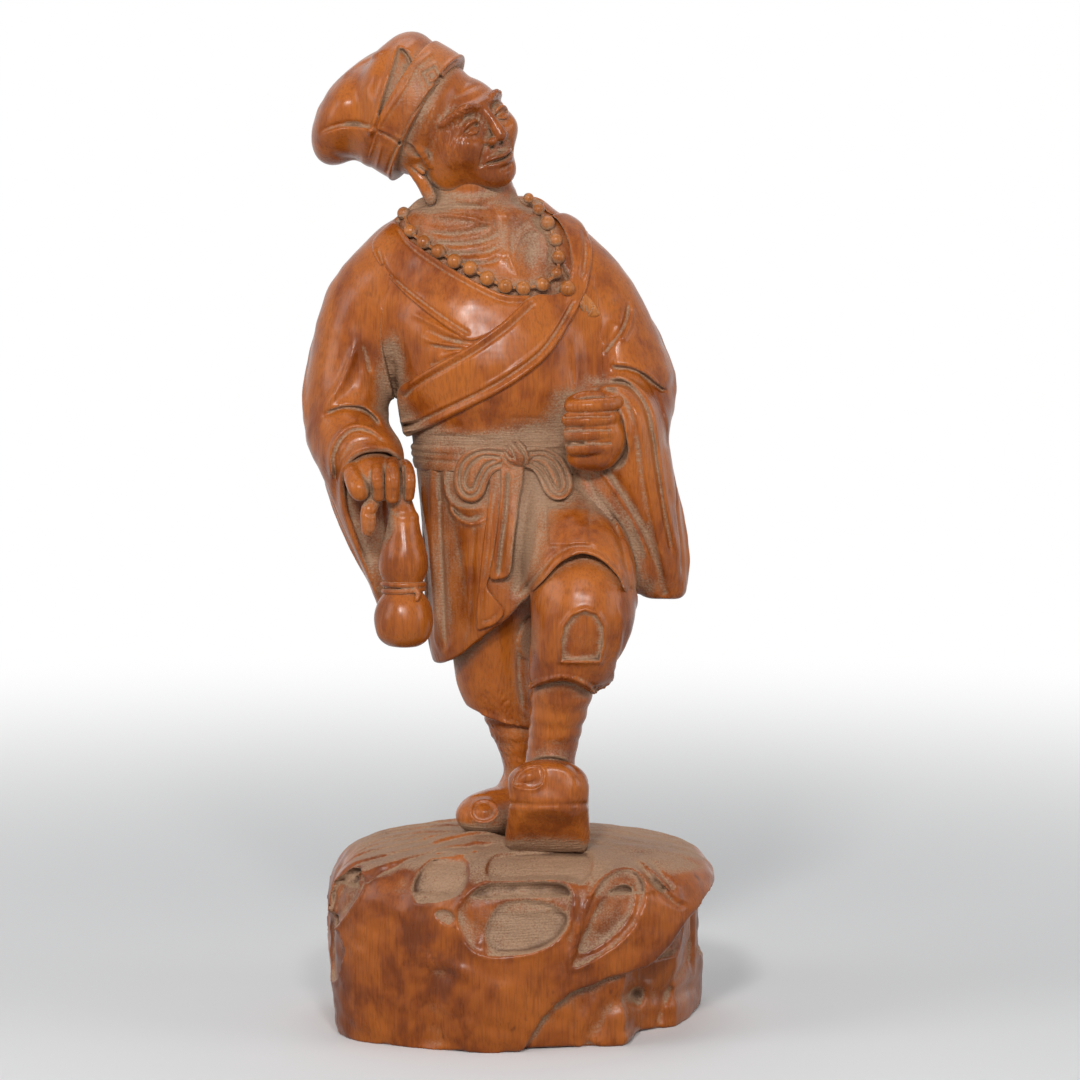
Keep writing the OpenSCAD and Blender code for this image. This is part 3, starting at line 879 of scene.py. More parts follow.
def normals(points: Array, faces: Array) -> Array:
    """Gives the outward way at each point of a net."""
    q = points[faces]
    n = np.cross(q[:, 2] - q[:, 0], q[:, 3] - q[:, 1])
    out = np.stack([np.bincount(faces.ravel(), weights=np.repeat(n[:, k], 4), minlength=len(points))
                    for k in range(3)], axis=1)
    return out / (np.linalg.norm(out, axis=1)[:, None] + 1e-12)


@dataclass
class Grid:
    """Distances on an even grid, read between its places."""
    low: Array
    step: float
    values: Array

    @classmethod
    def of(cls, body: Form, low: Array, high: Array, step: float) -> "Grid":
        """Measures a form on a grid between two corners."""
        n = np.ceil((high - low) / step).astype(int) + 2
        axes = [low[i] + step * np.arange(n[i], dtype=np.float32) for i in range(3)]
        p = np.stack(np.meshgrid(*axes, indexing="ij"), axis=-1).reshape(-1, 3).astype(np.float32)
        out = np.concatenate([body.distance(q) for q in np.array_split(p, max(1, len(p) // CHUNK))])
        return cls(low, step, out.reshape(n).astype(np.float32))

    def at(self, p: Array, values: Array | None = None) -> Array:
        """Reads the grid, or other values on it, at points."""
        g = self.values if values is None else values
        top = np.array(g.shape[:3], dtype=np.float32) - LAST_CELL
        q = np.clip((p - self.low.astype(np.float32)) / np.float32(self.step), 0, top)
        i = q.astype(np.int32)
        f = q - i
        out = 0
        for a in (0, 1):
            wa = f[:, 0] if a else 1 - f[:, 0]
            for b in (0, 1):
                wb = wa * (f[:, 1] if b else 1 - f[:, 1])
                for c in (0, 1):
                    w = wb * (f[:, 2] if c else 1 - f[:, 2])
                    part = g[i[:, 0] + a, i[:, 1] + b, i[:, 2] + c]
                    out = out + (w[:, None] * part if part.ndim == 2 else w * part)
        return out

    def slopes(self) -> Array:
        """Gives the way that distances grow, at every place of the grid."""
        g = np.stack(np.gradient(np.clip(self.values, -12, 12)), axis=-1)
        return (g / (np.linalg.norm(g, axis=-1, keepdims=True) + 1e-6)).astype(np.float32)


@dataclass
class Carving:
    """A form with the marks that are drawn on it.

    Attributes:
        name: Name of the piece.
        form: Its form.
        drawings: The marks on it.
        step: Size of the finest detail, in millimetres.
        uneven: Depth of the unevenness that the tool left.
        rough: Other unevenness, as a function of points that gives a lift.
        margin: Empty space round the form.
        past: How far beyond its deepest mark the form is measured.
        fades: How softly marks fade out on surfaces that turn away.
        smoothing: Shares by which the net is drawn in and let out again.
        give: How far smoothing may move a point, in steps.
    """
    name: str
    form: Form
    drawings: Sequence[Drawing] = ()
    step: float = 0.45
    uneven: float = 0.05
    rough: Callable[[Array], Array] | None = None
    margin: float = 3.0
    past: float = 2.5
    fades: float = 0.15
    smoothing: tuple = (0.5, -0.52)
    give: float = 0.6

    def carve(self) -> tuple[Array, Array]:
        """Cuts the form and its marks.

        Returns:
            The points and faces of the finished surface.
        """
        step = self.step * ROUGHER
        lo, hi = self.form.box()
        pad = self.margin + 3 * step
        lo, hi = np.array(lo, float) - pad, np.array(hi, float) + pad
        coarse = Grid.of(self.form, lo, hi, COARSE * step)
        slopes = coarse.slopes()
        self.depth = self.past + max([0.5] + [float(np.abs(drawing.grid).max()) for drawing
            in self.drawings])
        near = np.abs(coarse.values) < COARSE * step * 1.3 + self.depth
        grow = near.copy()
        for axis in range(3):
            for shift in (1, -1):
                grow |= np.roll(near, shift, axis=axis)
        blocks = np.stack(np.nonzero(grow[:-1, :-1, :-1]), axis=1)
        fine = coarse.values[:-1, :-1, :-1]
        for axis in range(3):
            fine = np.repeat(fine, COARSE, axis)
        local = np.stack(np.meshgrid(*[np.arange(COARSE)] * 3, indexing="ij"), axis=-1).reshape(-1, 3)
        for part in np.array_split(blocks, max(1, len(blocks) * COARSE ** 3 // CHUNK)):
            cells = (part[:, None, :] * COARSE + local[None]).reshape(-1, 3)
            p = (lo + cells * step).astype(np.float32)
            fine[tuple(cells.T)] = self.measured(p, coarse, slopes)
        fine[0], fine[-1], fine[:, 0], fine[:, -1], fine[:, :, 0], fine[:, :, -1] = [1.0] * 6
        points, faces = net(fine, lo, step)
        keep = points.copy()
        for share in self.smoothing * 2:
            points = points + share * (gathered(points, faces, len(points)) - points)
        return np.clip(points, keep - self.give * step, keep + self.give * step), faces

    def measured(self, p: Array, coarse: Grid, slopes: Array) -> Array:
        """Gives the distance of points to the form with its marks."""
        d = self.form.distance(p)
        close = np.flatnonzero(np.abs(d) < self.depth + 1.5)
        if not close.size:
            return d
        q = p[close]
        lift = self.uneven * ripple(q, 7.0, len(self.name))
        if self.rough is not None:
            lift = lift + self.rough(q)
        if self.drawings:
            way = coarse.at(q, slopes)
            for drawing in self.drawings:
                turn = way @ drawing.view.toward.astype(np.float32)
                lift = lift + drawing.at(q) * eased(turn, drawing.facing - self.fades, drawing.facing
                    + self.fades)
        d[close] = d[close] - lift
        return d


# Finishes

class Slot(Enum):
    """The record's material slots."""
    ROCK = "rock_wood"
    ROBE = "robe_wood"
    SKIN = "skin_wood"
    BEAD = "bead_wood"
    DOWEL = "dowel_wood"


class Nodes:
    """The node tree of a material or of the world, with short ways to add to it."""

    def __init__(self, owner: bpy.types.Material | bpy.types.World) -> None:
        """Empties the owner's tree."""
        owner.use_nodes = True
        self.tree = owner.node_tree
        self.tree.nodes.clear()

    def add(self, kind: str, *sources: object, **settings: object) -> bpy.types.Node:
        """Adds a node.

        Args:
            kind: Its kind.
            sources: What goes into its sockets in turn: a value, a socket or another node's first socket.
            settings: Its properties, and, by names with a capital, what goes into other sockets.

        Returns:
            The node.
        """
        node = self.tree.nodes.new(f"ShaderNode{kind}")
        into: dict[str | int, object] = dict(enumerate(sources))
        for name, value in settings.items():
            if name[0].isupper():
                into[name.replace("_", " ")] = value
            else:
                setattr(node, name, value)
        for slot, value in into.items():
            if isinstance(value, bpy.types.Node):
                value = value.outputs[0]
            if isinstance(value, bpy.types.NodeSocket):
                self.tree.links.new(value, node.inputs[slot])
            else:
                node.inputs[slot].default_value = value
        return node

    def times(self, a: bpy.types.Node, b: bpy.types.Node) -> bpy.types.Node:
        """Multiplies two values."""
        return self.add("Math", a, b, operation="MULTIPLY")

    def times_plus(self, a: bpy.types.Node, share: float, b: bpy.types.Node,
                   clamp: bool = False) -> bpy.types.Node:
        """Adds a share of one value to another."""
        return self.add("Math", a, share, b, operation="MULTIPLY_ADD", use_clamp=clamp)

    def ranged(self, source: bpy.types.Node | bpy.types.NodeSocket, low: float, high: float,
               start: float = 0.0, end: float = 1.0) -> bpy.types.Node:
        """Runs smoothly from start to end while the source runs from low to high."""
        return self.add("MapRange", source, low, high, start, end, interpolation_type="SMOOTHSTEP")

    def mixed(self, share: bpy.types.Node, *colours: bpy.types.Node | tuple) -> bpy.types.Node:
        """Mixes two colours."""
        return self.add("MixRGB", share, *((*c, 1.0) if isinstance(c, tuple) else c for c in colours))

    def amount(self, name: str) -> bpy.types.NodeSocket:
        """Reads an amount that the carving left at each point."""
        return self.add("Attribute", attribute_name=name).outputs["Fac"]

    def seen_rays(self) -> bpy.types.Node:
        """Tells the rays that see the white background: camera, glossy and transmission rays."""
        rays = self.add("LightPath").outputs
        seen = self.add("Math", rays["Is Camera Ray"], rays["Is Glossy Ray"], operation="MAXIMUM")
        return self.add("Math", seen, rays["Is Transmission Ray"], operation="MAXIMUM")


@dataclass(frozen=True)
class Texture:
    """An uneven pattern in the wood.

    Attributes:
        along: How much it is drawn out along Z, as a share of its size across.
        scale: How fine it is.
        detail: How many finer layers it has.
        rough: How strong those are.
        bend: How far it is bent.
    """
    along: float
    scale: float
    detail: float
    rough: float
    bend: float = 0.0


@dataclass(frozen=True)
class WoodFinish:
    """Polished boxwood with dust in its hollows and painted shade in its deepest crevices.

    Attributes:
        name: Name of the finish.
        light: Colour of the brightest grain, in linear light, as the rest.
        middle: Colour of most of the wood.
        dark: Colour of the darkest grain.
        dust: Colour of the dust.
        gloss: Roughness of the polished wood.
        mottle: How strongly darker clouds show.
        spots: How strongly dark flecks show.
        settles: How much dust lies on faces that look up.
        shine: Strength of its highlights.
        relief: Strength and depth, in metres, of its fine relief.
    """
    name: str
    light: tuple = (0.46, 0.125, 0.015)
    middle: tuple = (0.265, 0.054, 0.005)
    dark: tuple = (0.070, 0.015, 0.002)
    dust: tuple = (0.42, 0.265, 0.165)
    gloss: float = 0.27
    mottle: float = 0.24
    spots: float = 0.25
    settles: float = 0.0
    shine: float = 0.30
    relief: tuple = (0.42, 0.00016)
    grain: Texture = Texture(0.16, 520.0, 4.0, 0.62, 0.25)
    streak: Texture = Texture(0.05, 2300.0, 2.0, 0.5)
    cloud: Texture = Texture(0.7, 75.0, 4.0, 0.6, 0.4)
    fleck: Texture = Texture(0.75, 330.0, 2.0, 0.45)
    fine: Texture = Texture(1.0, 2100.0, 3.0, 0.6)

    def material(self) -> bpy.types.Material:
        """Builds the material from nodes.

        Returns:
            The material.
        """
        mat = bpy.data.materials.new(self.name)
        nodes = Nodes(mat)
        place = nodes.add("TexCoord").outputs["Object"]
        grain, streak, cloud, fleck, fine = (nodes.add("TexNoise", Vector=nodes.add("Mapping", place,
            Scale=(1.0, 1.0, t.along)), Scale=t.scale, Detail=t.detail, Roughness=t.rough,
            Distortion=t.bend) for t in (self.grain, self.streak, self.cloud, self.fleck, self.fine))
        tone = nodes.mixed(nodes.ranged(cloud, 0.34, 0.68), self.middle, self.light)
        tone = nodes.mixed(nodes.ranged(grain, 0.42, 0.72, 0.0, 0.5), tone, self.light)
        tone = nodes.mixed(nodes.ranged(cloud, 0.30, 0.52, self.mottle, 0.0), tone, self.dark)
        tone = nodes.mixed(nodes.ranged(streak, 0.30, 0.55, 0.30, 0.0), tone, self.dark)
        tone = nodes.mixed(nodes.ranged(fleck, 0.66, 0.76, 0.0, self.spots), tone, self.dark)

        upward = nodes.add("SeparateXYZ", nodes.add("NewGeometry").outputs["Normal"]).outputs["Z"]
        settled = nodes.ranged(upward, 0.55, 0.95, 0.0, self.settles)
        dust = nodes.add("Math", nodes.amount("dust"), settled, operation="ADD", use_clamp=True)
        dust = nodes.times(dust, nodes.ranged(fine, 0.25, 0.75, 0.55, 1.25))
        dust = nodes.times(dust, nodes.ranged(cloud, 0.25, 0.75, 0.8, 1.15))
        veil = nodes.ranged(dust, 0.12, 0.85, 0.0, 0.92)
        pale = nodes.mixed(nodes.ranged(fine, 0.3, 0.7), tuple(c * 0.72 for c in self.dust), self.dust)
        tone = nodes.mixed(veil, tone, pale)
        # Painted shade: the deepest crevices are darkened towards half the darkest grain colour.
        deep = nodes.ranged(nodes.amount("deep"), 0.0, 1.0, 0.0, 0.65)
        tone = nodes.mixed(deep, tone, tuple(c * 0.5 for c in self.dark))
        worn = nodes.ranged(nodes.amount("worn"), 0.25, 1.0, 0.0, 0.55)
        tone = nodes.mixed(worn, tone, tuple(min(1.0, c * 1.25 + 0.05) for c in self.light))

        rasp = nodes.add("TexWave", nodes.add("Mapping", place, Scale=(1.0, 1.0, 4.2)), bands_direction="Z",
                         Scale=95.0, Distortion=6.0, Detail=3.0, Detail_Scale=2.4)
        bumps = nodes.times_plus(grain, 0.55, nodes.times(rasp, veil))
        bumps = nodes.times_plus(nodes.times(fine, veil), 1.6, bumps)
        relief = nodes.add("Bump", Strength=self.relief[0], Distance=self.relief[1], Height=bumps)
        polish = nodes.ranged(grain, 0.2, 0.8, self.gloss - 0.05, self.gloss + 0.09)
        rough = nodes.times_plus(veil, 0.34, polish, clamp=True)
        nodes.add("OutputMaterial", nodes.add("BsdfPrincipled", Base_Color=tone, Roughness=rough,
            Normal=relief, IOR=1.5, Specular_IOR_Level=self.shine))
        return mat


FINISHES = { Slot.ROCK: WoodFinish("rock_boxwood", light=(0.40, 0.105, 0.013),
    middle=(0.215, 0.043, 0.004), mottle=0.42, spots=0.5, settles=0.8, gloss=0.29),
    Slot.ROBE: WoodFinish("robe_boxwood"), Slot.SKIN: WoodFinish("skin_boxwood",
    middle=(0.29, 0.064, 0.007), mottle=0.3, gloss=0.24), Slot.BEAD: WoodFinish("bead_boxwood",
    light=(0.52, 0.18, 0.040), middle=(0.36, 0.105, 0.018), mottle=0.25, spots=0.1, gloss=0.25),
    Slot.DOWEL: WoodFinish("dowel_boxwood", light=(0.62, 0.40, 0.20), middle=(0.52, 0.30, 0.13),
    dark=(0.30, 0.15, 0.06), mottle=0.3, gloss=0.5), }


# The workshop, which carves pieces and sets them in the scene

@dataclass
class Stain:
    """Dust that lies thicker in places of the front view, as u, v, half width, half height and amount."""
    rows: Sequence[Point]
    soft: float = 1.1

    def at(self, p: Array, way: Array) -> Array:
        """Gives the amount of dust at points that face certain ways."""
        u, v = FRONT.flat(p)
        out = np.zeros(len(p), dtype=np.float32)
        for cu, cv, ru, rv, much in self.rows:
            near = ((u - cu) / ru) ** 2 + ((v - cv) / rv) ** 2
            out += much * np.exp(-self.soft * near).astype(np.float32)
        return out * eased(way @ FRONT.toward.astype(np.float32), -0.1, 0.25)


@dataclass
class Workshop:
    """Carves pieces, colours their hollows with dust and painted shade, and sets them in the scene.

    Attributes:
        stains: Places of the front that hold more dust.
        reaches: Distances at which what stands round a surface is felt, and their shares of its shade.
        room: Lowest and highest place that the whole figure is measured in, with the space round it.
        near_turns: How often the surface's bend is evened out for fine hollows.
        wide_turns: How often more it is for wide ones.
    """
    stains: Stain
    reaches: tuple = ((2.2, 0.30), (4.5, 0.34), (9.0, 0.30))
    room: tuple = (-120.0, 320.0, 14.0)
    near_turns: int = 3
    wide_turns: int = 6
    carved: list[tuple[Carving, Slot, tuple, Array, Array]] = field(default_factory=list)

    def __post_init__(self) -> None:
        """Makes the materials."""
        self.materials = {slot: finish.material() for slot, finish in FINISHES.items()}

    def carve(self, carving: Carving, slot: Slot, *nodes: str) -> None:
        """Carves a piece that stands for the named nodes, or for the node of its own name."""
        points, faces = carving.carve()
        LOG.info("carved %s: %d faces", carving.name, len(faces))
        self.carved.append((carving, slot, nodes or (carving.name,), points, faces))

    def finish(self) -> None:
        """Colours every piece by what stands round it, and sets it in the scene."""
        everything = Union([entry[0].form for entry in self.carved], 0.0, reach=12.0)
        lo, hi = everything.box()
        lowest, highest, space = self.room
        lo, hi = np.maximum(lo, lowest) - space, np.minimum(hi, highest) + space
        whole = Grid.of(everything, lo, hi, 1.5)
        whole.values = np.clip(whole.values, -20, 20)
        for carving, slot, nodes, points, faces in self.carved:
            way = normals(points, faces)
            self.place(carving, slot, nodes, points, faces,
                self.coloured(carving, points, faces, way, whole))

    def coloured(self, carving: Carving, points: Array, faces: Array, way: Array,
                 whole: Grid) -> dict[str, Array]:
        """Works out where dust lies on a piece, where it is worn and where shade is painted into its
        deepest crevices.

        Args:
            carving: The piece.
            points: Its points.
            faces: Its faces.
            way: The outward way at its points.
            whole: Distances to the whole figure.

        Returns:
            The amounts of dust, wear and painted deep shade at the points.
        """
        p, n = points.astype(np.float32), way.astype(np.float32)
        shade = np.zeros(len(p), dtype=np.float32)
        for reach, share in self.reaches:
            free = whole.at(p + n * reach + n * 0.5)
            shade += share * np.clip((reach * 0.95 - free) / reach, 0.0, 1.2)
        step = carving.step * ROUGHER
        bend = np.einsum("ij,ij->i", gathered(points, faces, len(points)) - points, way) / step
        for _ in range(self.near_turns):
            bend = 0.5 * bend + 0.5 * gathered(bend, faces, len(points))
        near = bend.astype(np.float32)
        for _ in range(self.wide_turns):
            bend = gathered(bend, faces, len(points))
        wide = bend.astype(np.float32)
        hollow = np.clip(near * 7.0, 0, 1) * 0.55 + np.clip(wide * 11.0, 0, 1) * 0.35
        worn = np.clip(-near * 5.0 - 0.15, 0, 1)
        crevice = np.clip(shade * 1.15 - 0.10, 0, 1.2) + hollow
        dust = np.clip(crevice + self.stains.at(p, n), 0.0, 1.0)
        # Painted shade: where the figure closes in most round a surface and in its deepest hollows, the
        # colour is darkened.
        deep = np.clip(crevice * 1.6 - 1.4, 0, 1)
        return {"dust": dust.astype(np.float32), "worn": worn.astype(np.float32),
            "deep": deep.astype(np.float32)}

    def place(self, carving: Carving, slot: Slot, nodes: Sequence[str], points: Array, faces: Array,
              amounts: dict[str, Array]) -> None:
        """Makes the piece's mesh and gives it its place, its finish and the nodes that it stands for."""
        mesh = bpy.data.meshes.new(carving.name)
        mesh.vertices.add(len(points))
        mesh.vertices.foreach_set("co", (points * MM).astype(np.float32).ravel())
        mesh.loops.add(faces.size)
        mesh.loops.foreach_set("vertex_index", faces.astype(np.int32).ravel())
        mesh.polygons.add(len(faces))
        mesh.polygons.foreach_set("loop_start", np.arange(0, faces.size, 4, dtype=np.int32))
        mesh.polygons.foreach_set("use_smooth", np.ones(len(faces), dtype=bool))
        mesh.update(calc_edges=True)
        mesh.validate()
        for key, values in amounts.items():
            if len(mesh.vertices) == len(values):
                mesh.attributes.new(key, "FLOAT", "POINT").data.foreach_set("value", values)
        mesh.materials.append(self.materials[slot])
        piece = bpy.data.objects.new(f"{carving.name}_carved", mesh)
        bpy.context.scene.collection.objects.link(piece)
        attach(piece, "root")
        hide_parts(*nodes)


# The rock

@dataclass
class RockForm(Form):
    """The rock's body: an outline that changes with its height.

    Attributes:
        width: Width of the rock.
        depth: Depth of the rock.
        height: Height of the rock.
        shift: How far it reaches to the figure's left.
        outline: Its outline, as shares of its half width and half depth.
        levels: Shares of its height and of its outline.
    """
    width: float = 104.0
    depth: float = 84.0
    height: float = ROCK_H
    shift: float = 2.0
    outline: tuple = ((-0.955, -0.16), (-0.935, -0.47), (-0.81, -0.69), (-0.58, -0.83), (-0.22, -1.00),
        (0.20, -0.95), (0.70, -0.78), (0.97, -0.42), (1.01, 0.18), (0.89, 0.62), (0.42, 0.94),
        (-0.14, 1.00), (-0.66, 0.84), (-0.96, 0.40))
    levels: tuple = ((0.0, 0.965), (0.10, 0.985), (0.34, 1.0), (0.62, 1.0), (0.76, 0.985), (0.87, 0.92),
                     (0.95, 0.79), (1.0, 0.60))

    def __post_init__(self) -> None:
        """Turns the outline into radii by direction."""
        line = course(np.array(self.outline) * [self.width / 2, self.depth / 2], 8, closed=True)
        angle = np.arctan2(line[:, 1], line[:, 0])
        order = np.argsort(angle)
        self._angle = np.concatenate([angle[order] - 2 * math.pi, angle[order], angle[order] + 2 * math.pi])
        self._radius = np.tile(np.hypot(line[:, 0], line[:, 1])[order], 3)
        self._levels = course(self.levels, 6)

    def distance(self, p: Array) -> Array:
        """Gives the distance of points."""
        x, y, z = p[:, 0] - self.shift, p[:, 1], p[:, 2]
        share = np.interp(z / self.height, self._levels[:, 0], self._levels[:, 1])
        edge = np.interp(np.arctan2(y, x), self._angle, self._radius) * share
        side = (np.hypot(x, y) - edge) * 0.94
        side = side / np.sqrt(1 + np.where(z > 0.8 * self.height, 3.0, 0.0))
        top = z - self.height + 0.9 * np.cos(x * 0.07 + 1.0) * np.cos(y * 0.09)
        out = soft_max(side.astype(np.float32), top.astype(np.float32), 5.0)
        return np.maximum(out, -z).astype(np.float32)

    def box(self) -> tuple[Array, Array]:
        """Gives the corners."""
        return (np.array([self.shift - self.width / 2, -self.depth / 2, 0.0]),
                np.array([self.shift + self.width / 2, self.depth / 2, self.height]))


@dataclass
class Rock:
    """The rock under the figure, with hollows cut in its sides and its lower right corner cut back.

    Attributes:
        body: The rock before it is cut back.
        undercut: How far the lower right corner is cut back.
        ridge: The ridge over that corner, as shares of the half width and the height.
        core: What stays under the ridge, as shares of the half sizes, before the undercut.
        mounds: Low swellings round the feet, as rows of a chain.
        step: Size of the finest detail.
        front_marks: Hollows, flakes and facets of the front, in the front view's units.
        drop_marks: The left hollow, in millimetres as seen from its own side.
        back_marks: Hollows and valleys of the back, in millimetres.
        side_marks: Those of both sides, in millimetres.
    """
    body: RockForm = field(default_factory=RockForm)
    undercut: float = 5.0
    ridge: tuple = ((0.02, -0.2), (0.02, 0.0), (0.12, 0.18), (0.24, 0.30), (0.42, 0.37), (0.63, 0.42),
        (0.76, 0.52), (0.84, 0.64), (0.93, 0.73), (1.10, 0.86), (1.30, 0.86), (1.30, -0.2))
    core: tuple = ((-0.20, -1.00), (0.20, -1.00), (0.37, -0.95), (0.62, -0.91), (0.70, -0.52),
        (0.89, -0.36), (1.00, 0.05), (1.05, 0.34), (0.94, 0.66), (0.50, 0.98), (-0.20, 1.08))
    mounds: tuple = ((-17.0, -9.0, 47.6, 6.0, 4.0, 3.0), (-8.0, -12.0, 47.8, 7.0, 4.0, 3.2),
        (-1.0, -16.0, 47.4, 5.0, 4.0, 3.0))
    step: float = 0.62
    front_marks: tuple = (
        # grey round hollow and the flake above it
        Panel([(424, 866), (432, 859), (448, 857), (464, 858), (470, 866), (469, 880), (463, 891),
            (450, 899), (430, 903), (417, 902), (413, 889), (417, 875)], -1.6, 1.5, rim=0.4),
        Lip([(486, 848), (474, 852), (462, 855), (446, 852), (430, 855)], 0.9, 0.5, fade=3.0),
        # small hollow
        Panel([(435, 912), (446, 909), (455, 914), (457, 921), (450, 925), (441, 921)], -1.0, 0.7,
            rim=0.3, rim_size=0.4),
        # wide hollow with its raised rim and the recess inside
        Panel([(489, 882), (530, 881), (562, 882), (573, 892), (574, 908), (566, 930), (548, 947),
            (520, 956), (488, 957), (470, 948), (459, 928), (457, 910), (470, 894)], -1.5, 2.6, rim=0.7,
            rim_size=0.8),
        Panel([(500, 906), (512, 901), (530, 900), (550, 904), (566, 913), (570, 924), (560, 938),
            (540, 949), (515, 952), (494, 950), (487, 938), (490, 920)], -1.3, 0.9),
        Lip([(492, 908), (505, 914), (530, 915), (556, 912), (568, 917)], -0.5, 0.5, fade=3.0,
            undercut=0.0),
        Stroke([(474, 940), (482, 948), (488, 955)], 0.6, 0.7), Spot([(484, 942), (8, 8)], 0.5),
        # slanting leaf with its double rim
        Panel([(572, 968), (578, 940), (588, 906), (600, 882), (618, 869), (636, 870), (646, 884),
            (646, 904), (636, 928), (616, 948), (592, 962)], -0.9, 1.3, rim=0.8, rim_size=0.9),
        Panel([(578, 952), (588, 926), (598, 905), (610, 890), (624, 884), (634, 890), (634, 908),
            (624, 926), (606, 942), (590, 951)], -0.9, 0.7, rim=0.4, rim_size=0.45),
        Stroke([(585, 966), (608, 956), (632, 938), (644, 914), (648, 890)], -0.4, 0.5),
        # notch under the raised foot
        Panel([(489, 862), (500, 854), (540, 851), (580, 850), (592, 856), (592, 872), (582, 884),
            (570, 879), (530, 879), (496, 881), (488, 874)], -1.4, 1.0),
        # torn scar at the right
        Stroke([(596, 852), (618, 853), (636, 862), (650, 878), (668, 896), (688, 912)], -0.9, 1.1),
        Stroke([(622, 850), (646, 858), (660, 872), (674, 890), (684, 904)], -0.6, 0.8),
        Stroke([(634, 866), (652, 886), (664, 898)], 0.8, 0.5),
        Stroke([(640, 858), (658, 876), (676, 898)], 0.7, 0.4),
        Stroke([(660, 884), (676, 903), (690, 906)], -0.7, 0.6),
        # front face: a soft valley, scratches and a knot
        Stroke([(426, 944), (433, 958), (438, 968)], -0.5, 0.4),
        Stroke([(432, 950), (440, 962)], 0.3, 0.3),
        Stroke([(446, 966), (440, 1000), (436, 1050)], -1.4, 5.0, taper=0.1),
        Stroke([(470, 960), (452, 985), (446, 1020)], 0.9, 3.0), Spot([(400, 880), (18, 20)], -0.5),
        Spot([(380, 980), (40, 60)], 0.5), Spot([(470, 1016), (7, 5)], -0.4),
        Spot([(467, 1040), (5, 4)], -0.3), Spot([(500, 1000), (30, 26)], 0.6),
        # facets under the ridge
        Stroke([(650, 980), (645, 1000), (638, 1022), (628, 1044)], 0.8, 1.3, taper=0.1),
        Stroke([(640, 988), (612, 1006), (600, 1024), (584, 1048)], -1.1, 2.0, taper=0.1),
        Stroke([(600, 1000), (590, 1012), (578, 1040)], 0.6, 1.2, taper=0.1),
        Stroke([(690, 935), (684, 965), (668, 990), (656, 1030)], -1.0, 0.9, taper=0.1),
        Stroke([(712, 900), (706, 935), (700, 975), (690, 1010)], 0.6, 1.5),
    )
    drop_marks: tuple = (
        # left hollow, shaped like a drop
        Panel([(-21.8, 44.4), (-17.4, 44.6), (-15.0, 41.6), (-17.4, 36.2), (-24.0, 29.2), (-28.0, 28.8),
            (-30.4, 33.0), (-28.8, 39.2)], -1.2, 0.9, rim=0.6, rim_size=0.6),
        Panel([(-21.6, 42.2), (-18.6, 42.0), (-17.4, 40.0), (-20.4, 34.4), (-25.0, 30.8), (-27.6, 32.6),
            (-26.0, 38.0)], -0.5, 0.5, rim=0.25, rim_size=0.4),
    )
    back_marks: tuple = (
        Panel([(-30, 38), (-18, 42), (-8, 34), (-10, 22), (-22, 16), (-32, 24)], -1.5, 1.4, rim=0.6),
        Panel([(6, 30), (18, 36), (30, 30), (28, 18), (14, 12), (5, 18)], -1.6, 1.6, rim=0.6),
        Panel([(34, 40), (41, 38), (42, 28), (36, 26)], -0.8, 0.8, rim=0.4),
        Stroke([(-48, 14), (-20, 8), (4, 6), (30, 9), (48, 6)], -1.2, 3.0),
        Stroke([(-4, 44), (-2, 30), (2, 14)], -1.0, 1.2), Stroke([(-40, 30), (-38, 16)], 0.8, 1.4),
    )
    side_marks: tuple = (
        Panel([(-24, 34), (-12, 38), (-4, 30), (-8, 20), (-20, 20)], -1.4, 1.3, rim=0.5),
        Panel([(8, 28), (18, 32), (26, 24), (20, 14), (9, 17)], -1.4, 1.3, rim=0.5),
        Stroke([(-36, 12), (-10, 9), (20, 6)], -1.0, 2.4), Stroke([(2, 42), (4, 26), (6, 10)], -0.9, 1.1),
    )

    def form(self) -> Form:
        """The rock's rough form."""
        b = self.body
        flat = View(origin=(b.shift, 0.0, 0.0))
        below = Region(flat, [(x * b.width / 2, z * b.height) for x, z in self.ridge], smooth=False)
        above = View(up=(0.0, 1.0, 0.0), origin=(b.shift - self.undercut, self.undercut, 0.0))
        core = Region(above, [(x * b.width / 2, y * b.depth / 2) for x, y in self.core], smooth=False)
        mounds = chain(self.mounds, 2.0)
        return Union([Cut(b, Cut(below, core, 1.0), 1.2), mounds], 2.5)

    def marks(self) -> list[Drawing]:
        """Draws the hollows, ridges and layers."""
        front = Drawing(FRONT, self.front_marks, facing=0.2, step=0.22)
        slant = View((0.819, -0.574, 0.0))
        drop = Drawing(slant, self.drop_marks, facing=0.3, step=0.22)
        layers = [Lip([(-50 + 2 * k, -24 + 6 * k + 2 * math.sin(k)), (-34, -27 + 7 * k),
            (-16, -20 + 6.5 * k), (-2 + k, -18 + 6 * k)], 0.8, 0.6, fade=3.5, undercut=0.4) for k
            in range(7)]
        layers += [Lip([(50 - k, -12 + 8 * k), (36, -17 + 8 * k), (22 + 2 * k, -13 + 7 * k),
                        (12, -10 + 7 * k)], -0.7, 0.6, fade=3.5, undercut=0.4) for k in range(6)]
        top = Drawing(TOP, layers, facing=0.55, step=0.3)
        back = Drawing(BACK, self.back_marks, facing=0.3, step=0.3)
        sides = [Drawing(view, self.side_marks, facing=0.5, step=0.3) for view in (LEFT, RIGHT)]
        return [front, drop, top, back, *sides]

    def carve(self, shop: Workshop) -> None:
        """Carves the rock."""
        shop.carve(Carving("rock_base", self.form(), self.marks(), self.step, 0.12,
                           lambda q: 0.16 * ripple(q, 26.0, 5)), Slot.ROCK)


# Legs and trousers

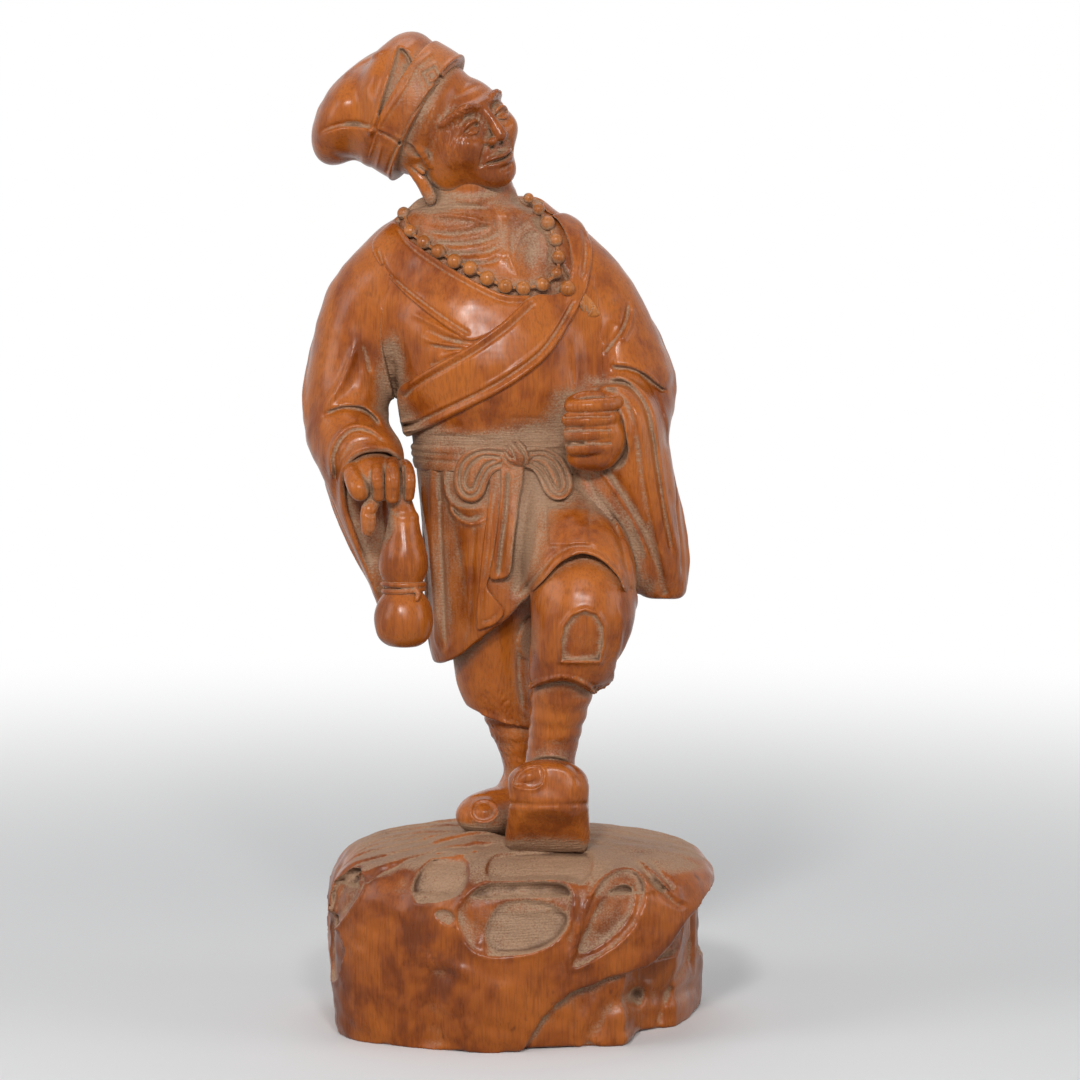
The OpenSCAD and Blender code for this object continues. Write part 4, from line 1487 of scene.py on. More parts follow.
@dataclass
class Legs:
    """Both bare legs and the trousers over them.

    The rows of the limbs are in hundredths of the figure's height. Outlines and marks of the front are in
    the front view's units, and those of the other sides in millimetres, here and in the other classes.
    """
    front_foot: tuple = ((4.6, -9.4, 1.2, 5.6, 5.0, 3.6), (4.6, -10.6, 4.2, 5.6, 5.2, 4.0),
                         (4.7, -12.8, 7.0, 5.4, 4.4, 3.7), (4.7, -14.2, 9.2, 5.0, 3.2, 2.9))
    front_shin: tuple = ((5.0, -8.4, 6.0, 3.7, 3.6, 2.0), (5.0, -8.0, 10.5, 3.1, 3.4, 2.0),
                         (5.65, -8.6, 15.0, 3.35, 3.9, 2.0), (6.8, -9.6, 22.0, 4.3, 4.8, 2.0))
    rear_foot: tuple = ((1.6, 5.4, 2.2, 3.0, 3.0, 2.8), (0.4, 3.4, 2.8, 3.3, 3.4, 2.9),
                        (-1.6, 1.0, 2.9, 3.6, 3.6, 2.8), (-3.6, -1.7, 2.7, 3.8, 3.5, 2.8))
    rear_shin: tuple = ((1.8, 4.8, 2.4, 2.5, 2.8, 2.0), (1.7, 4.4, 5.4, 2.5, 2.7, 2.0),
                        (1.6, 3.8, 9.6, 2.8, 3.2, 2.0), (0.2, 3.3, 15.0, 3.9, 4.0, 2.0))
    front_trouser: tuple = ((7.6, -5.4, 37.0, 6.2, 6.0, 6.0), (9.0, -10.6, 34.0, 6.4, 6.2, 6.0),
                            (9.3, -12.4, 30.6, 6.4, 6.0, 5.0), (8.2, -11.8, 25.6, 5.7, 5.8, 3.4),
                            (7.4, -10.4, 21.4, 5.2, 5.4, 1.4))
    rear_trouser: tuple = ((0.2, 3.1, 13.0, 4.4, 4.3), (-0.5, 3.0, 15.6, 4.9, 5.0),
        (-1.7, 2.8, 19.0, 5.4, 5.7), (-2.6, 2.4, 24.0, 5.4, 6.2), (-3.0, 2.0, 29.0, 6.2, 6.7),
        (-3.2, 1.8, 33.0, 6.6, 7.0))
    front_hem: tuple = ((512, 716), (521, 698), (533, 689), (547, 684), (565, 681), (584, 688),
        (595, 699), (604, 716), (604, 760), (512, 760))
    sole: tuple = ((511, 730), (588, 730), (589, 801), (592, 852), (594, 880), (500, 880), (503, 852),
        (510, 801))
    foot_marks: tuple = (
        # the toe's upper side over the flat sole
        Panel([(514, 784), (518, 773), (530, 766), (541, 766), (545, 774), (543, 784), (534, 789),
            (521, 788)], -0.5, 0.35, rim=0.42, rim_size=0.42),
        Spot([(530, 776), (10, 8)], 0.75), Stroke([(516, 783), (530, 783), (540, 779)], -0.35, 0.35),
        Stroke([(524, 765), (540, 760), (558, 760), (574, 768), (584, 782)], -0.55, 0.6),
        Stroke([(508, 803), (540, 805), (590, 804)], -0.45, 0.7, taper=0.01),
        Hatch([(506, 838), (590, 838), (590, 856), (504, 856)], 0.22, 0.7, way=2, spacing=0.6),
        Stroke([(560, 700), (566, 730), (562, 756)], 0.35, 2.2),
        Stroke([(540, 694), (545, 740)], -0.2, 2.0),
    )
    foot_left_marks: tuple = (
        Stroke([(-22, 57), (-15, 63), (-10, 66)], -0.6, 0.9), Spot([(-12, 66), (5, 4)], 0.9),
        Stroke([(-30, 70), (-24, 66), (-18, 66)], -0.35, 0.6),
    )
    foot_right_marks: tuple = (
        Spot([(14, 66), (5, 4)], 0.9), Stroke([(30, 66), (24, 61)], -0.4, 0.7),
    )
    toe_marks: tuple = (
        Panel([(471, 811), (475, 803), (485, 800), (494, 804), (498, 812), (492, 820), (482, 822),
            (474, 819)], -0.3, 0.3, rim=0.5, rim_size=0.5),
        Spot([(485, 811), (8, 6)], 0.5),
        Lip([(452, 806), (464, 798), (480, 795), (500, 796), (514, 794)], -0.4, 0.6, fade=3.0),
        Stroke([(462, 800), (480, 793), (500, 790)], 0.35, 0.5),
        Hatch([(480, 722), (526, 738), (516, 782), (500, 772)], 0.25, 0.9, way=70, spacing=0.9, wave=0.5),
    )
    calf_marks: tuple = (
        Stroke([(3, 58), (2, 70), (3, 80)], 0.5, 1.4), Stroke([(-1, 60), (-2, 74)], -0.3, 0.8),
    )
    knee_marks: tuple = (
        Panel([(562, 661), (562, 640), (565, 626), (573, 615), (586, 610), (598, 614), (605, 627),
            (605, 644), (601, 661)], -1.3, 0.7, rim=0.8, rim_size=0.8, smooth=False),
        Spot([(584, 640), (12, 16)], 0.35), Stroke([(526, 640), (536, 600), (556, 572)], 0.45, 1.2),
        Stroke([(618, 600), (624, 630), (616, 662)], 0.4, 0.9),
        Stroke([(522, 695), (533, 686), (547, 680), (566, 677), (585, 684), (597, 695)], 0.7, 0.6,
            taper=0.02),
        Hatch([(522, 684), (545, 676), (568, 673), (590, 680), (604, 696), (598, 706), (580, 692),
            (560, 688), (540, 692), (524, 702)], -0.45, 0.4, way=88, spacing=0.75, wave=0.5),
        Stroke([(535, 672), (566, 666), (600, 676)], -0.35, 1.5),
    )
    knee_left_marks: tuple = (
        Stroke([(-34, 112), (-26, 100), (-14, 96)], -0.6, 1.2),
        Stroke([(-32, 124), (-20, 112), (-8, 108)], 0.6, 1.3),
        Stroke([(-30, 98), (-20, 93), (-10, 94)], 0.5, 0.8),
    )
    knee_back_marks: tuple = (
        Stroke([(-24, 118), (-14, 112), (-6, 116)], -0.6, 1.1),
        Stroke([(-24, 106), (-14, 101), (-8, 104)], -0.5, 1.0),
    )
    rear_folds: tuple = (
        Stroke([(534, 738), (520, 729), (500, 721), (484, 716), (468, 714)], 0.5, 0.6, taper=0.02),
        Stroke([(518, 650), (519, 680), (524, 712)], -0.9, 0.6),
        Stroke([(524, 650), (528, 676), (527, 706)], 0.4, 0.8),
        Stroke([(452, 672), (458, 696), (470, 714)], 0.35, 1.0),
        Hatch([(478, 690), (524, 690), (528, 730), (486, 716)], -0.28, 2.0, way=90, spacing=1.1,
            wave=0.6),
        Panel([(518, 640), (524, 622), (532, 616), (538, 630), (540, 652), (530, 660), (520, 655)], 0.8,
            0.6),
    )
    rear_back_folds: tuple = (
        Stroke([(-4, 110), (2, 98), (10, 92)], -0.7, 1.2),
        Stroke([(-6, 100), (0, 88), (6, 82)], 0.6, 1.1),
        Stroke([(12, 108), (13, 94), (10, 84)], -0.5, 0.9),
        Stroke([(-8, 79), (2, 77.5), (10, 79)], 0.5, 0.6),
    )

    def trouser(self) -> Form:
        """The front trouser's rough form, open below round the shin."""
        body = chain(placed(self.front_trouser), 1.5)
        hem = Half((17.0, -22.0, 90.0), (0.10, 0.10, -1.0))
        arch = Common([Region(FRONT, self.front_hem), Half((0, -10.0, 0), (0, 1, 0))], 0.6)
        hollow = chain(placed([(5.8, -9.0, 16.0, 4.7, 4.7, 2.0), (7.2, -10.0, 22.6, 4.9, 4.9, 1.4)]), 0.5)
        return Cut(Cut(Common([body, hem], 1.2), arch, 0.8), hollow, 0.7)

    @staticmethod
    def frayed(p: Array, lift: float, size: float, seed: int, low: float, high: float) -> Array:
        """Makes a hem uneven below its low height, and less so up to its high one."""
        return lift * ripple(p, size, seed) * eased(-p[:, 2], -high, -low)

    def carve(self, shop: Workshop) -> None:
        """Carves the legs and the trousers."""
        ground = Half((0, 0, ROCK_H - 1.2), (0, 0, -1))
        ball_of_foot = (10.0, -34.6, 62.6)
        under_sole = Half(ball_of_foot, (0, -0.74, -0.67))
        over_sole = Half(ball_of_foot, (0, -0.98, 0.20))
        outline = Region(FRONT, self.sole)
        foot = Common([chain(placed(self.front_foot), 1.5), ground, over_sole, under_sole, outline], 0.5)
        leg = Union([foot, chain(placed(self.front_shin), 1.0)], 4.0)
        toes = Drawing(FRONT, self.foot_marks)
        left = Drawing(LEFT, self.foot_left_marks, facing=0.3)
        right = Drawing(RIGHT, self.foot_right_marks, facing=0.3)
        shop.carve(Carving("front_leg", leg, [toes, left, right], 0.34), Slot.SKIN)

        calf = Union([Common([chain(placed(self.rear_foot), 1.5), ground], 0.8),
                      chain(placed(self.rear_shin), 1.0)], 4.0)
        nail = Drawing(FRONT, self.toe_marks)
        back = Drawing(BACK, self.calf_marks)
        shop.carve(Carving("rear_leg", calf, [nail, back], 0.34), Slot.SKIN)

        knee = Drawing(FRONT, self.knee_marks)
        left = Drawing(LEFT, self.knee_left_marks, facing=0.3)
        back = Drawing(BACK, self.knee_back_marks, facing=0.2)
        shop.carve(Carving("front_trouser", self.trouser(), [knee, left, back], 0.42,
                           rough=lambda q: self.frayed(q, 0.25, 1.5, 8, 92.0, 94.5)), Slot.ROBE)

        hem = Half((-3.0, 0.0, 80.6), (-0.30, 0.0, -0.95))
        hollow = chain(placed([(1.4, 4.2, 8.0, 2.8, 3.2, 2.0), (0.2, 3.3, 13.6, 2.9, 3.8, 1.2)]), 0.5)
        body = Cut(Common([Loft(placed(self.rear_trouser), 1.4), hem], 0.6), hollow, 0.6)
        folds = Drawing(FRONT, self.rear_folds)
        back = Drawing(BACK, self.rear_back_folds)
        shop.carve(Carving("rear_trouser", body, [folds, back], 0.42,
                           rough=lambda q: self.frayed(q, 0.22, 1.6, 9, 78.0, 80.5)), Slot.ROBE)


# The robe below the waist, and the sash

@dataclass
class Skirts:
    """The robe below the waist, with its part over the raised thigh."""
    slices: tuple = ((-0.2, 1.4, 22.6, 10.2, 9.0), (-0.2, 1.2, 27.0, 11.1, 9.6),
        (0.0, 0.8, 34.0, 11.6, 9.8), (0.0, 0.4, 41.0, 11.9, 9.7), (-0.3, 0.2, 47.0, 12.1, 9.2),
        (-0.6, 0.2, 52.0, 12.1, 8.6))
    thigh: tuple = ((4.4, -0.5, 42.0, 7.4, 7.0, 6.4), (8.4, -9.0, 38.0, 6.9, 6.6, 6.4),
             (9.4, -12.2, 34.6, 6.7, 6.2, 6.0))
    front_folds: tuple = (
        Stroke([(432, 452), (431, 500), (433, 560), (438, 620), (444, 652)], 0.55, 0.8, taper=0.08),
        Stroke([(441, 470), (441, 520), (443, 570), (446, 650)], -0.75, 0.6, taper=0.1),
        Stroke([(452, 530), (450, 580), (454, 636)], 0.25, 0.8),
        Stroke([(424, 520), (427, 570), (434, 640)], -0.5, 0.8),
        Stroke([(477, 500), (473, 560), (471, 632)], -0.35, 0.7),
        Stroke([(447, 500), (453, 512), (462, 521), (474, 524), (488, 519)], 0.9, 0.6),
        Stroke([(452, 504), (459, 514), (472, 518), (486, 514)], -0.7, 0.45),
        Stroke([(453, 457), (446, 472), (445, 488), (450, 500), (460, 508), (478, 509), (488, 505)], 0.8,
            0.6),
        Stroke([(441, 462), (439, 480), (441, 498), (446, 508)], -0.5, 0.6),
        Stroke([(530, 470), (526, 520), (522, 560), (516, 600)], -0.7, 1.4, taper=0.1),
        Stroke([(539, 500), (537, 540), (528, 575), (514, 606)], 0.5, 0.9),
        Panel([(548, 507), (590, 507), (589, 545), (549, 546)], 0.55, 0.5, smooth=False),
        Stroke([(560, 546), (585, 543), (608, 549)], 0.35, 0.9),
        Lip([(626, 592), (618, 573), (602, 558), (581, 551), (560, 560), (544, 576), (520, 605),
            (508, 618)], 0.4, 0.5, fade=2.5, undercut=0.0, taper=0.03),
        Stroke([(622, 596), (614, 572), (600, 559), (581, 553), (562, 562), (546, 578), (524, 602)], 0.6,
            0.7, taper=0.05),
        Stroke([(628, 588), (619, 568), (603, 552), (580, 545), (558, 554), (541, 572), (518, 598)], -0.5,
            0.6, taper=0.05),
        Stroke([(596, 500), (612, 520), (622, 542), (628, 572), (632, 600)], -0.9, 0.9, taper=0.08),
        Stroke([(604, 500), (618, 524), (626, 548)], 0.4, 0.6),
        Stroke([(455, 638), (448, 650), (440, 656)], 0.4, 0.6),
        Hatch([(428, 470), (470, 520), (476, 630), (448, 645), (430, 600)], -0.12, 3.0, way=88,
            spacing=1.0),
    )
    arch: tuple = (
        (404, 668), (424, 666), (446, 662), (462, 654), (478, 641), (492, 630), (506, 620), (520, 604),
        (545, 577), (560, 561), (580, 552), (600, 556), (616, 570), (626, 592), (640, 640), (640, 740),
        (404, 740),
    )

    def __post_init__(self) -> None:
        """Builds the rough forms."""
        self.drum = Loft(placed(self.slices), 1.2)
        self.lap = chain(placed(self.thigh), 1.0)
        self.body = Union([self.drum, self.lap], 5.0)

    def form(self) -> Form:
        """The skirt, with its hem cut in an arch over the knee and open below."""
        arch = Region(FRONT, self.arch)
        behind = Half((0, 2.0, 0), (0, -1, 0))
        front_cut = Cut(arch, behind, 0.6)
        hollow = Loft(placed([(-0.6, 1.4, 20.0, 8.4, 7.0), (-0.4, 1.2, 26.0, 8.8, 7.4),
                                     (-0.2, 1.0, 31.0, 8.0, 7.0)]), 1.0)
        return Cut(Cut(self.body, front_cut, 0.9), hollow, 0.8)

    def carve(self, shop: Workshop) -> None:
        """Carves the skirt."""
        front = Drawing(FRONT, self.front_folds)
        back = Drawing(BACK, [Stroke([(x, 146 - abs(x) * 0.2), (x * 1.03 + 1, 122), (x * 1.06 - 1, 97)],
            0.8 * lift, size, taper=0.12) for x, lift, size in ((-18, -0.9, 1.1), (-14, 0.7, 1.2),
            (-8, -1.0, 1.0), (-3, 0.8, 1.3), (3, -0.8, 0.9), (8, 0.7, 1.2), (13, -1.0, 1.0),
            (18, 0.7, 1.1))] + [Lip([(22, 98.5), (8, 97), (-8, 97.5), (-22, 99)], 0.35, 0.5, fade=3.0)],
            facing=0.1)
        sides = [Drawing(view, [
            Stroke([(a, 146), (a + 2, 120), (a + 1, 98)], lift, 1.1, taper=0.12)
            for a, lift in ((-14, -0.7), (-8, 0.6), (-1, -0.8), (6, 0.7), (12, -0.6))], facing=0.35)
            for view in (LEFT, RIGHT)]
        shop.carve(Carving("skirt", self.form(), [front, back, *sides], 0.44), Slot.ROBE)


@dataclass
class Sash:
    """The sash: its band, its knot, the two loops of the bow and the two hanging ends."""
    cloth: Form
    left_loop: tuple = ((508, 448), (486, 446), (468, 451), (458, 461), (454, 476), (455, 490),
        (463, 500), (475, 502), (484, 495), (489, 482), (496, 472), (508, 467))
    left_lines: tuple = (((506, 453), (486, 451), (471, 456), (462, 466), (460, 480), (463, 491),
        (471, 496), (479, 491), (484, 478), (491, 468), (504, 463)), ((502, 458), (486, 456), (475, 461),
        (468, 470), (465, 481), (469, 489), (475, 487), (479, 476), (486, 465), (497, 460)))
    right_loop: tuple = ((526, 448), (545, 447), (561, 455), (570, 468), (574, 485), (568, 497),
        (556, 500), (546, 493), (540, 481), (533, 470), (524, 466))
    right_lines: tuple = (((528, 453), (544, 452), (557, 459), (565, 471), (568, 486), (562, 494),
        (553, 491), (547, 481), (540, 470), (529, 463)), ((531, 458), (543, 457), (553, 463), (560, 474),
        (562, 485), (557, 489), (551, 479), (544, 467), (533, 461)))
    wraps: tuple = (((501, 449), (507, 460), (516, 467), (527, 467), (533, 460)),
                    ((506, 443), (513, 451), (515, 458), (510, 457), (505, 450)),
                    ((514, 440), (521, 448), (526, 457), (524, 466)), ((521, 439), (528, 447), (531, 457)))
    under_tail: tuple = ((492, 466), (489, 500), (483, 550), (478, 600), (477, 628), (486, 628), (497, 623),
                         (505, 612), (497, 600), (488, 588), (490, 575), (497, 540), (503, 500), (506, 466))
    over_tail: tuple = ((503, 462), (502, 500), (496, 545), (490, 576), (500, 579), (511, 573), (514, 545),
                        (519, 505), (524, 462))
    tail_folds: tuple = (
        Stroke([(504, 470), (501, 510), (497, 550), (494, 572)], 0.35, 0.7, taper=0.06),
        Stroke([(515, 470), (512, 510), (508, 550), (505, 572)], 0.4, 0.8, taper=0.06),
        Stroke([(509, 472), (507, 510), (502, 550), (499, 576)], -0.7, 0.5, taper=0.06),
        Stroke([(520, 470), (516, 510), (511, 550)], 0.3, 0.5),
        Stroke([(496, 480), (492, 520), (486, 570), (481, 615)], -0.35, 0.6, taper=0.06),
        Stroke([(480, 622), (490, 620), (499, 612)], -0.35, 0.5),
    )
    loop_hollows: tuple = (
        Panel([(471, 468), (479, 462), (484, 464), (478, 476), (474, 484), (469, 483)], 0.4, 0.5),
        Panel([(547, 463), (555, 470), (559, 480), (556, 485), (550, 474)], 0.4, 0.5),
    )

    def carve(self, shop: Workshop) -> None:
        """Carves the sash."""
        band = Common([Shell(self.cloth, 0.5), Half((0, 0, 154.6), (-0.03, 0, 1)),
                       Half((0, 0, 147.6), (0.03, 0, -1))], 0.9)
        ribs = [Stroke([(416, y), (470, y + 2), (512, y + 1), (560, y - 2)], 0.14, 0.4, taper=0.02)
                for y in (438, 443, 448)]
        round_lines = [Drawing(view, [Stroke([(-30, z), (0, z + 0.4), (30, z)], lift, 0.5, taper=0.01)
                                      for z, lift in ((149.6, -0.35), (151.4, -0.35), (153.0, -0.3))],
                               facing=0.1) for view in (BACK, LEFT, RIGHT)]
        shop.carve(Carving("sash_band", band, [Drawing(FRONT, ribs), *round_lines], 0.42), Slot.ROBE)

        middle = lands(517, 455, self.cloth)
        knot = ball(middle + [0, -0.7, 0], (4.3, 3.6, 4.0))
        creases = [Stroke(line, -0.8, 0.42, taper=0.05) for line in self.wraps]
        raised = [[(u - 2.0, v + 2.6) for u, v in line] for line in self.wraps]
        creases += [Stroke(line, 0.3, 0.5, taper=0.05) for line in raised]
        shop.carve(Carving("sash_knot", knot, [Drawing(FRONT, creases)], 0.24), Slot.ROBE)

        front = Half((0, 6.0, 0), (0, 1, 0))
        loops = [Common([Shell(self.cloth, 2.1), Region(FRONT, line), front], 1.1)
                 for line in (self.left_loop, self.right_loop)]
        lines = [Stroke(line, -0.75, 0.42, taper=0.03) for line in self.left_lines + self.right_lines]
        lines += self.loop_hollows
        shop.carve(Carving("sash_loops", Union(loops, 0.3), [Drawing(FRONT, lines)], 0.26), Slot.ROBE)

        under = Common([Shell(self.cloth, 1.3), Region(FRONT, self.under_tail), front], 0.5)
        over = Common([Shell(self.cloth, 2.4), Region(FRONT, self.over_tail), front], 0.5)
        tails = Union([under, over], 0.2)
        folds = Drawing(FRONT, self.tail_folds)
        shop.carve(Carving("sash_tails", tails, [folds], 0.30), Slot.ROBE)


# The robe above the waist, the sleeves and the chest

@dataclass
class Robe:
    """The robe above the waist with its lapels, both sleeves, and the chest inside."""
    skirt: Skirts
    torso: tuple = ((-0.6, 0.2, 49.6, 12.1, 8.6), (-0.8, -0.2, 54.0, 12.5, 9.3),
        (-1.6, -0.6, 59.0, 13.5, 10.2), (-2.8, -0.3, 64.5, 14.8, 10.5), (-3.4, 0.4, 69.5, 15.6, 10.0),
        (-3.6, 1.0, 74.0, 15.2, 8.8), (-3.8, 1.4, 78.0, 13.2, 7.6), (-4.0, 1.6, 81.5, 10.2, 6.6),
        (-4.2, 1.4, 84.0, 8.0, 5.6))
    right_arm: tuple = ((-13.6, 1.6, 75.0, 6.2, 6.6, 5.6), (-18.6, 1.4, 68.6, 6.0, 6.6, 6.4),
                        (-21.5, 0.4, 59.0, 5.3, 6.2, 6.0), (-21.7, -1.6, 53.4, 5.1, 5.9, 5.0),
                        (-18.9, -6.6, 50.6, 5.0, 4.6, 4.4))
    left_arm: tuple = ((5.8, 1.6, 75.2, 6.2, 6.4, 5.4), (10.6, 1.4, 69.0, 6.2, 6.6, 6.4),
                       (14.4, 0.4, 61.0, 6.2, 6.6, 5.8), (15.6, -1.4, 56.6, 5.4, 5.8, 4.8),
                       (13.6, -7.2, 54.6, 5.6, 4.6, 5.0))
    right_drape: tuple = ((-16.2, -3.4, 30.4, 1.2, 2.0), (-17.0, -3.4, 34.5, 2.0, 3.6),
        (-18.5, -3.4, 39.5, 2.9, 4.8), (-19.8, -3.2, 45.0, 3.9, 5.8), (-20.4, -2.8, 50.0, 4.7, 6.2),
        (-20.8, -1.6, 55.0, 4.2, 5.0))
    left_drape: tuple = ((19.8, -3.4, 31.8, 3.0, 3.0), (19.4, -3.6, 35.0, 3.6, 4.2),
        (18.4, -4.0, 40.0, 4.2, 5.0), (17.0, -4.4, 45.5, 4.7, 5.8), (15.8, -4.8, 51.0, 4.9, 6.2),
        (15.2, -4.6, 56.0, 4.6, 5.4))
    left_inner: tuple = ((12.4, -5.6, 51.0, 2.6, 3.0, 3.0), (13.8, -6.0, 44.0, 2.8, 2.8, 3.0),
                         (16.4, -5.4, 36.4, 2.6, 2.6, 3.0))
    left_web: tuple = ((10.4, -4.3, 48.2, 3.3, 3.3, 3.8), (12.0, -5.2, 42.6, 3.1, 3.0, 3.3),
        (14.9, -5.1, 35.4, 2.7, 2.5, 2.8))
    neck: tuple = ((-4.4, 1.4, 79.0, 6.4, 5.6, 4.0), (-5.0, 0.8, 84.0, 5.6, 5.2, 3.0),
        (-6.4, 0.2, 88.5, 5.0, 4.8, 3.0))
    opening: tuple = ((396, 224), (410, 243), (450, 271), (500, 297), (530, 300), (556, 300), (566, 290),
                      (571, 262), (567, 237), (556, 217), (543, 206), (524, 150), (400, 150), (388, 200))
    right_mouth: tuple = ((402, 462), (390, 453), (372, 452), (357, 457), (348, 468), (345, 484),
        (348, 506), (355, 530), (367, 560), (383, 596), (410, 620), (440, 560), (440, 470))
    under: tuple = ((395, 222), (410, 241), (450, 268), (500, 294), (532, 296), (520, 312), (498, 330),
                    (472, 341), (452, 330), (424, 309), (396, 282), (378, 258), (372, 244), (382, 230))
    over: tuple = ((553, 215), (559, 221), (569, 240), (573, 264), (568, 284), (556, 294), (532, 296),
                   (505, 321), (470, 346), (440, 363), (415, 378), (398, 392), (404, 434), (420, 431),
                   (450, 417), (500, 392), (540, 364), (562, 338), (578, 308), (588, 286), (592, 254),
                   (587, 232), (578, 219), (566, 213))
    body_folds: tuple = (
        Stroke([(410, 312), (430, 322), (455, 335), (482, 342)], 0.8, 0.7),
        Stroke([(424, 328), (446, 338), (470, 344)], -0.6, 0.5),
        Stroke([(420, 337), (444, 344), (478, 347)], 0.75, 0.6),
        Stroke([(426, 345), (450, 348), (472, 350)], -0.6, 0.45),
        Stroke([(438, 358), (455, 352), (476, 348)], 0.6, 0.6),
        Stroke([(428, 366), (450, 360)], -0.4, 0.6), Spot([(395, 362), (16, 34)], -1.6),
        Hatch([(384, 338), (408, 338), (414, 392), (376, 398)], -0.25, 2.0, way=5, spacing=0.7, wave=0.4),
        Stroke([(574, 330), (578, 370), (570, 402)], 0.5, 1.6),
        Stroke([(573, 366), (574, 390)], -0.3, 0.5), Spot([(540, 428), (30, 12)], -0.7),
        Stroke([(500, 421), (520, 418), (548, 419)], -0.25, 0.4),
        Stroke([(425, 438), (450, 436), (500, 441)], -0.3, 0.4),
        Stroke([(428, 432), (470, 432)], 0.25, 0.4), Spot([(450, 300), (40, 30)], 0.3),
        Spot([(500, 400), (50, 26)], 0.35),
    )
    body_back_folds: tuple = (
        Stroke([(-14, 208), (-6, 190), (6, 168), (20, 155)], 1.0, 1.5),
        Stroke([(-10, 208), (0, 188), (12, 166)], -0.9, 1.1),
        Stroke([(-4, 209), (6, 190), (18, 170)], 0.8, 1.4),
        Stroke([(24, 200), (16, 182), (0, 162), (-14, 155)], 0.8, 1.5),
        Stroke([(28, 192), (20, 174), (8, 158)], -0.8, 1.1),
        Stroke([(-24, 186), (-20, 168), (-10, 156)], -0.7, 1.1),
        Lip([(24, 207), (14, 212.5), (4, 213.5), (-6, 211)], 1.1, 0.8, fade=4.0),
    )
    under_marks: tuple = (
        Stroke([(397, 228), (411, 247), (450, 274), (500, 300), (528, 302)], -0.45, 0.4, taper=0.03),
        Stroke([(400, 224), (412, 241), (450, 268), (500, 294), (528, 297)], 0.4, 0.5, taper=0.03),
        Stroke([(379, 250), (388, 270), (412, 293), (446, 318), (470, 334)], -0.5, 0.45, taper=0.03),
        Stroke([(374, 248), (382, 268), (408, 295), (444, 322), (466, 336)], 0.4, 0.55, taper=0.03),
        Spot([(455, 300), (40, 16)], 0.3),
    )
    right_folds: tuple = (
        Stroke([(356, 338), (351, 360), (342, 382), (332, 398), (324, 412)], 1.0, 1.1),
        Stroke([(362, 342), (360, 364), (350, 390), (336, 404)], -0.5, 1.6),
        Lip([(384, 428), (374, 415), (362, 407), (346, 406), (333, 409), (322, 415)], 1.0, 0.6, fade=3.0,
            undercut=0.7),
        Stroke([(362, 340), (367, 356), (371, 376)], -0.7, 0.7),
        Stroke([(382, 438), (372, 429), (358, 425), (344, 430), (334, 443), (330, 460), (333, 480)], 0.75,
            0.6, taper=0.1),
        Stroke([(386, 444), (374, 434), (358, 430), (347, 435), (338, 447), (335, 462), (337, 482)], -0.6,
            0.45, taper=0.1),
        Stroke([(400, 456), (388, 448), (370, 447), (354, 453), (345, 465), (341, 482), (343, 506),
            (350, 530), (362, 560), (378, 596)], 0.8, 0.8, taper=0.03),
        Stroke([(390, 440), (376, 440), (358, 442), (346, 452), (339, 466), (337, 486), (340, 512)], -0.5,
            0.8),
        Stroke([(318, 380), (312, 420), (320, 455)], -0.35, 2.0), Spot([(330, 300), (26, 50)], 0.4),
        Stroke([(348, 540), (362, 570), (374, 596)], -0.4, 0.5),
    )
    right_back_folds: tuple = (
        Stroke([(34, 198), (42, 184), (48, 170)], 0.7, 1.4),
        Stroke([(30, 190), (38, 176), (46, 164)], -0.8, 1.1),
        Stroke([(36, 164), (44, 158), (50, 160)], -0.9, 1.0),
        Stroke([(34, 158), (42, 151), (50, 152)], 0.8, 1.1),
        Stroke([(38, 150), (38, 134), (34, 116)], 0.8, 1.2),
        Stroke([(44, 148), (42, 132), (37, 118)], -0.7, 0.9),
    )
    right_side_folds: tuple = (
        Stroke([(-8, 190), (-2, 172), (6, 160)], 0.7, 1.4),
        Stroke([(-10, 176), (-2, 162), (6, 154)], -0.8, 1.1),
        Stroke([(0, 150), (6, 134), (8, 116)], 0.7, 1.1),
        Stroke([(6, 150), (10, 136), (10, 120)], -0.7, 0.9),
    )
